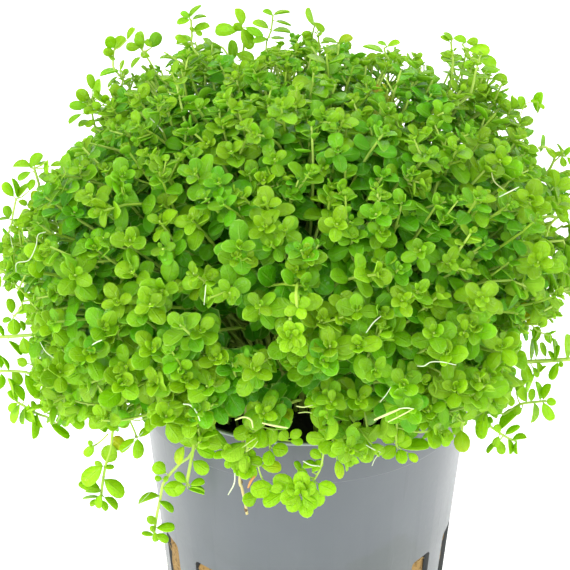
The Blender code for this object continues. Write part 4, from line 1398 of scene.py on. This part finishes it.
def make_threads(pieces, grain):
    """Roots, stalks and the dry stem, laid where the leaves of the finished pieces let them show."""
    materials = {name: stem_material(name, grain, *look) for name, look in THREAD_LOOKS.items()}
    points, faces = [], []
    for piece in pieces:
        mesh = piece.data
        co = np.zeros(len(mesh.vertices) * 3, dtype=np.float32)
        mesh.vertices.foreach_get("co", co)
        first = len(points)
        points.extend(map(tuple, co.reshape(-1, 3)))
        faces.extend(tuple(first + i for i in p.vertices) for p in mesh.polygons)
    tree = BVHTree.FromPolygons(points, faces)
    kinds = {kind: [] for _, kind in THREAD_PIECES}
    for pixels, half, kind in THREADS:
        line = smooth_line(in_front_of(tree, pixels), 5)
        ends = np.linspace(-1, 1, len(line)) ** 2
        kinds[kind].append([(q, half * 0.62 * MM * (1.0 - 0.35 * e)) for q, e in zip(line, ends)])
    for name, kind in THREAD_PIECES:
        tubes(name, kinds[kind], 6, materials[kind])
    places = [world_from_pixel(x, y, OLD_STEM_DEPTH) for x, y in OLD_STEM]
    start = [places[0] + np.array((1.0, 5.0, 9.0)) * MM]
    line = smooth_line(start + places, 6)
    tubes("dry_stem", [[(q, 0.2 * MM) for q in line]], 8, materials["dry_stalk"])
    marks = []
    for pixels in OLD_STEM_NODES:
        a, b = (world_from_pixel(x, y, OLD_STEM_DEPTH) for x, y in pixels)
        marks.append([(a, 0.19 * MM), (a + (b - a) * 0.3, 0.26 * MM), (a + (b - a) * 0.7, 0.26 * MM),
                      (b, 0.19 * MM)])
    tubes("dry_stem_nodes", marks, 8, materials["dry_node"])


def set_camera():
    camera = add_object("camera", bpy.data.cameras.new("camera"))
    camera.data.lens = LENS
    camera.data.sensor_width = SENSOR
    camera.data.clip_start = 0.01
    camera.data.clip_end = 10.0
    camera.location = CAMERA_PLACE
    camera.rotation_euler = (CAMERA_PITCH, 0.0, 0.0)
    bpy.context.scene.camera = camera


# Softboxes: name, place, height of the place they aim at, width and height, and watts
SOFTBOXES = (
    ("top_softbox", (0.08, 0.10, 0.70), 0.06, (0.30, 0.30), 1.7),
    ("back_softbox", (0.05, 0.70, 0.42), 0.07, (0.5, 0.3), 1.3),
    ("front_softbox", (-0.15, -0.80, 0.38), 0.05, (0.8, 0.6), 4.8),
    ("left_softbox", (-0.55, -0.22, 0.40), 0.06, (0.3, 0.4), 3.4),
    ("right_softbox", (0.58, -0.08, 0.36), 0.06, (0.3, 0.4), 2.0),
)
ROOM_BRIGHTNESS = 0.96
BACKDROP_BRIGHTNESS = 1.1
TABLE_GLOW = 0.35
WHITE = (1, 1, 1, 1)


def area_light(name, place, aim_height, size, watts):
    light = bpy.data.lights.new(name, "AREA")
    light.shape = "RECTANGLE"
    light.size, light.size_y = size
    light.energy = watts
    obj = add_object(name, light)
    obj.location = place
    obj.rotation_euler = (Vector((0, 0, aim_height)) - Vector(place)).to_track_quat("-Z", "Y").to_euler()


def set_stage():
    """A pale table, an even white room that looks whiter to the camera, and the softboxes."""
    bm = bmesh.new()
    bmesh.ops.create_circle(bm, cap_ends=True, segments=96, radius=3.0)
    material, tree, shader, place = new_material("white_table")
    tint = blend_colour(tree, noise(tree, place, 6.0), opaque([0.93] * 3), opaque([0.95] * 3))
    feed(tree, shader.inputs, {"Base Color": tint, "Roughness": 0.7, "Emission Color": WHITE,
                               "Emission Strength": TABLE_GLOW})
    object_from_bmesh("table", bm, [material])
    world = bpy.data.worlds.new("studio")
    world.use_nodes = True
    tree = world.node_tree
    room = tree.nodes["Background"]
    feed(tree, room.inputs, {"Color": WHITE, "Strength": ROOM_BRIGHTNESS})
    backdrop = node(tree, "ShaderNodeBackground", {"Color": WHITE, "Strength": BACKDROP_BRIGHTNESS})
    seen = node(tree, "ShaderNodeLightPath").outputs["Is Camera Ray"]
    both = node(tree, "ShaderNodeMixShader", {0: seen, 1: room.outputs[0], 2: backdrop.outputs[0]})
    tree.links.new(both.outputs[0], tree.nodes["World Output"].inputs["Surface"])
    bpy.context.scene.world = world
    for softbox in SOFTBOXES:
        area_light(*softbox)
    view = bpy.context.scene.view_settings
    view.view_transform = "Standard"
    view.look = "None"


# Colours of the leaves' two faces when fresh, grown, old, yellowed and browned
UPPER_COLOURS = ((0.295, 0.55, 0.005), (0.117, 0.475, 0.002), (0.038, 0.305, 0.002),
                 (0.66, 0.60, 0.02), (0.46, 0.27, 0.04))
UNDERSIDE_COLOURS = ((0.38, 0.66, 0.025), (0.17, 0.51, 0.015), (0.088, 0.35, 0.012),
                     (0.62, 0.58, 0.06), (0.5, 0.2, 0.03))
UPPER_GLOW = (0.56, 0.865, 0.012)
UNDERSIDE_GLOW = (0.59, 0.90, 0.03)
WOOL_COLOURS = (0.27, 0.165, 0.045), (0.19, 0.11, 0.03)
FIBRE_COLOURS = (0.42, 0.30, 0.12), (0.30, 0.19, 0.07)


def make_pot_and_wool(grain):
    make_pot(pot_material(grain))
    make_plug(wool_material("wool", grain, *WOOL_COLOURS))
    fibre = wool_material("fibre", grain, *FIBRE_COLOURS)
    tubes("wool_fibres", wool_fibres(), 4, fibre)


def shoot_nodes_by_region():
    """Names of the plain shoots whose middles lie in each region of the leaves."""
    nodes = {}
    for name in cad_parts:
        if name.startswith("shoot_"):
            low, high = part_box(name)
            nodes.setdefault(region_of((np.array(low) + np.array(high)) / 2), []).append(name)
    return nodes


def make_foliage(plant):
    """The leaf pieces, one for each region, in place of the plain shoots there."""
    veins, tint = make_leaf_veins(), make_leaf_tint()
    upper = leaf_material("leaf_upper", veins, tint, UPPER_COLOURS, 0.25, 0.42, UPPER_GLOW, 0.75)
    underside = leaf_material("leaf_underside", veins, tint, UNDERSIDE_COLOURS, 0.55, 0.45,
                              UNDERSIDE_GLOW, 0.25)
    patterns = {"outer": leaf_pattern(6, LEAF_RINGS), "bud": leaf_pattern(6, BUD_RINGS),
                "inner": leaf_pattern(4, INNER_RINGS)}
    nodes = shoot_nodes_by_region()
    pieces = []
    for region, layers in sorted(plant.leaves.items()):
        pieces.append(build_leaves(region, layers, patterns, [upper, underside]))
        finish_piece(pieces[-1], nodes.get(region, []))
    return pieces


def main():
    set_camera()
    set_stage()
    grain = make_grain()
    make_pot_and_wool(grain)
    plant = Plant()
    grow_dome(plant)
    grow_sprigs(plant)
    grow_placed(plant)
    grow_rosettes(plant)
    pieces = make_foliage(plant)
    stem = stem_material("stem", grain, *STEM_LOOK)
    tubes("stems", plant.stems, 6, stem)
    tubes("side_branches", plant.twigs, 4, stem)
    make_threads(pieces, grain)


main()
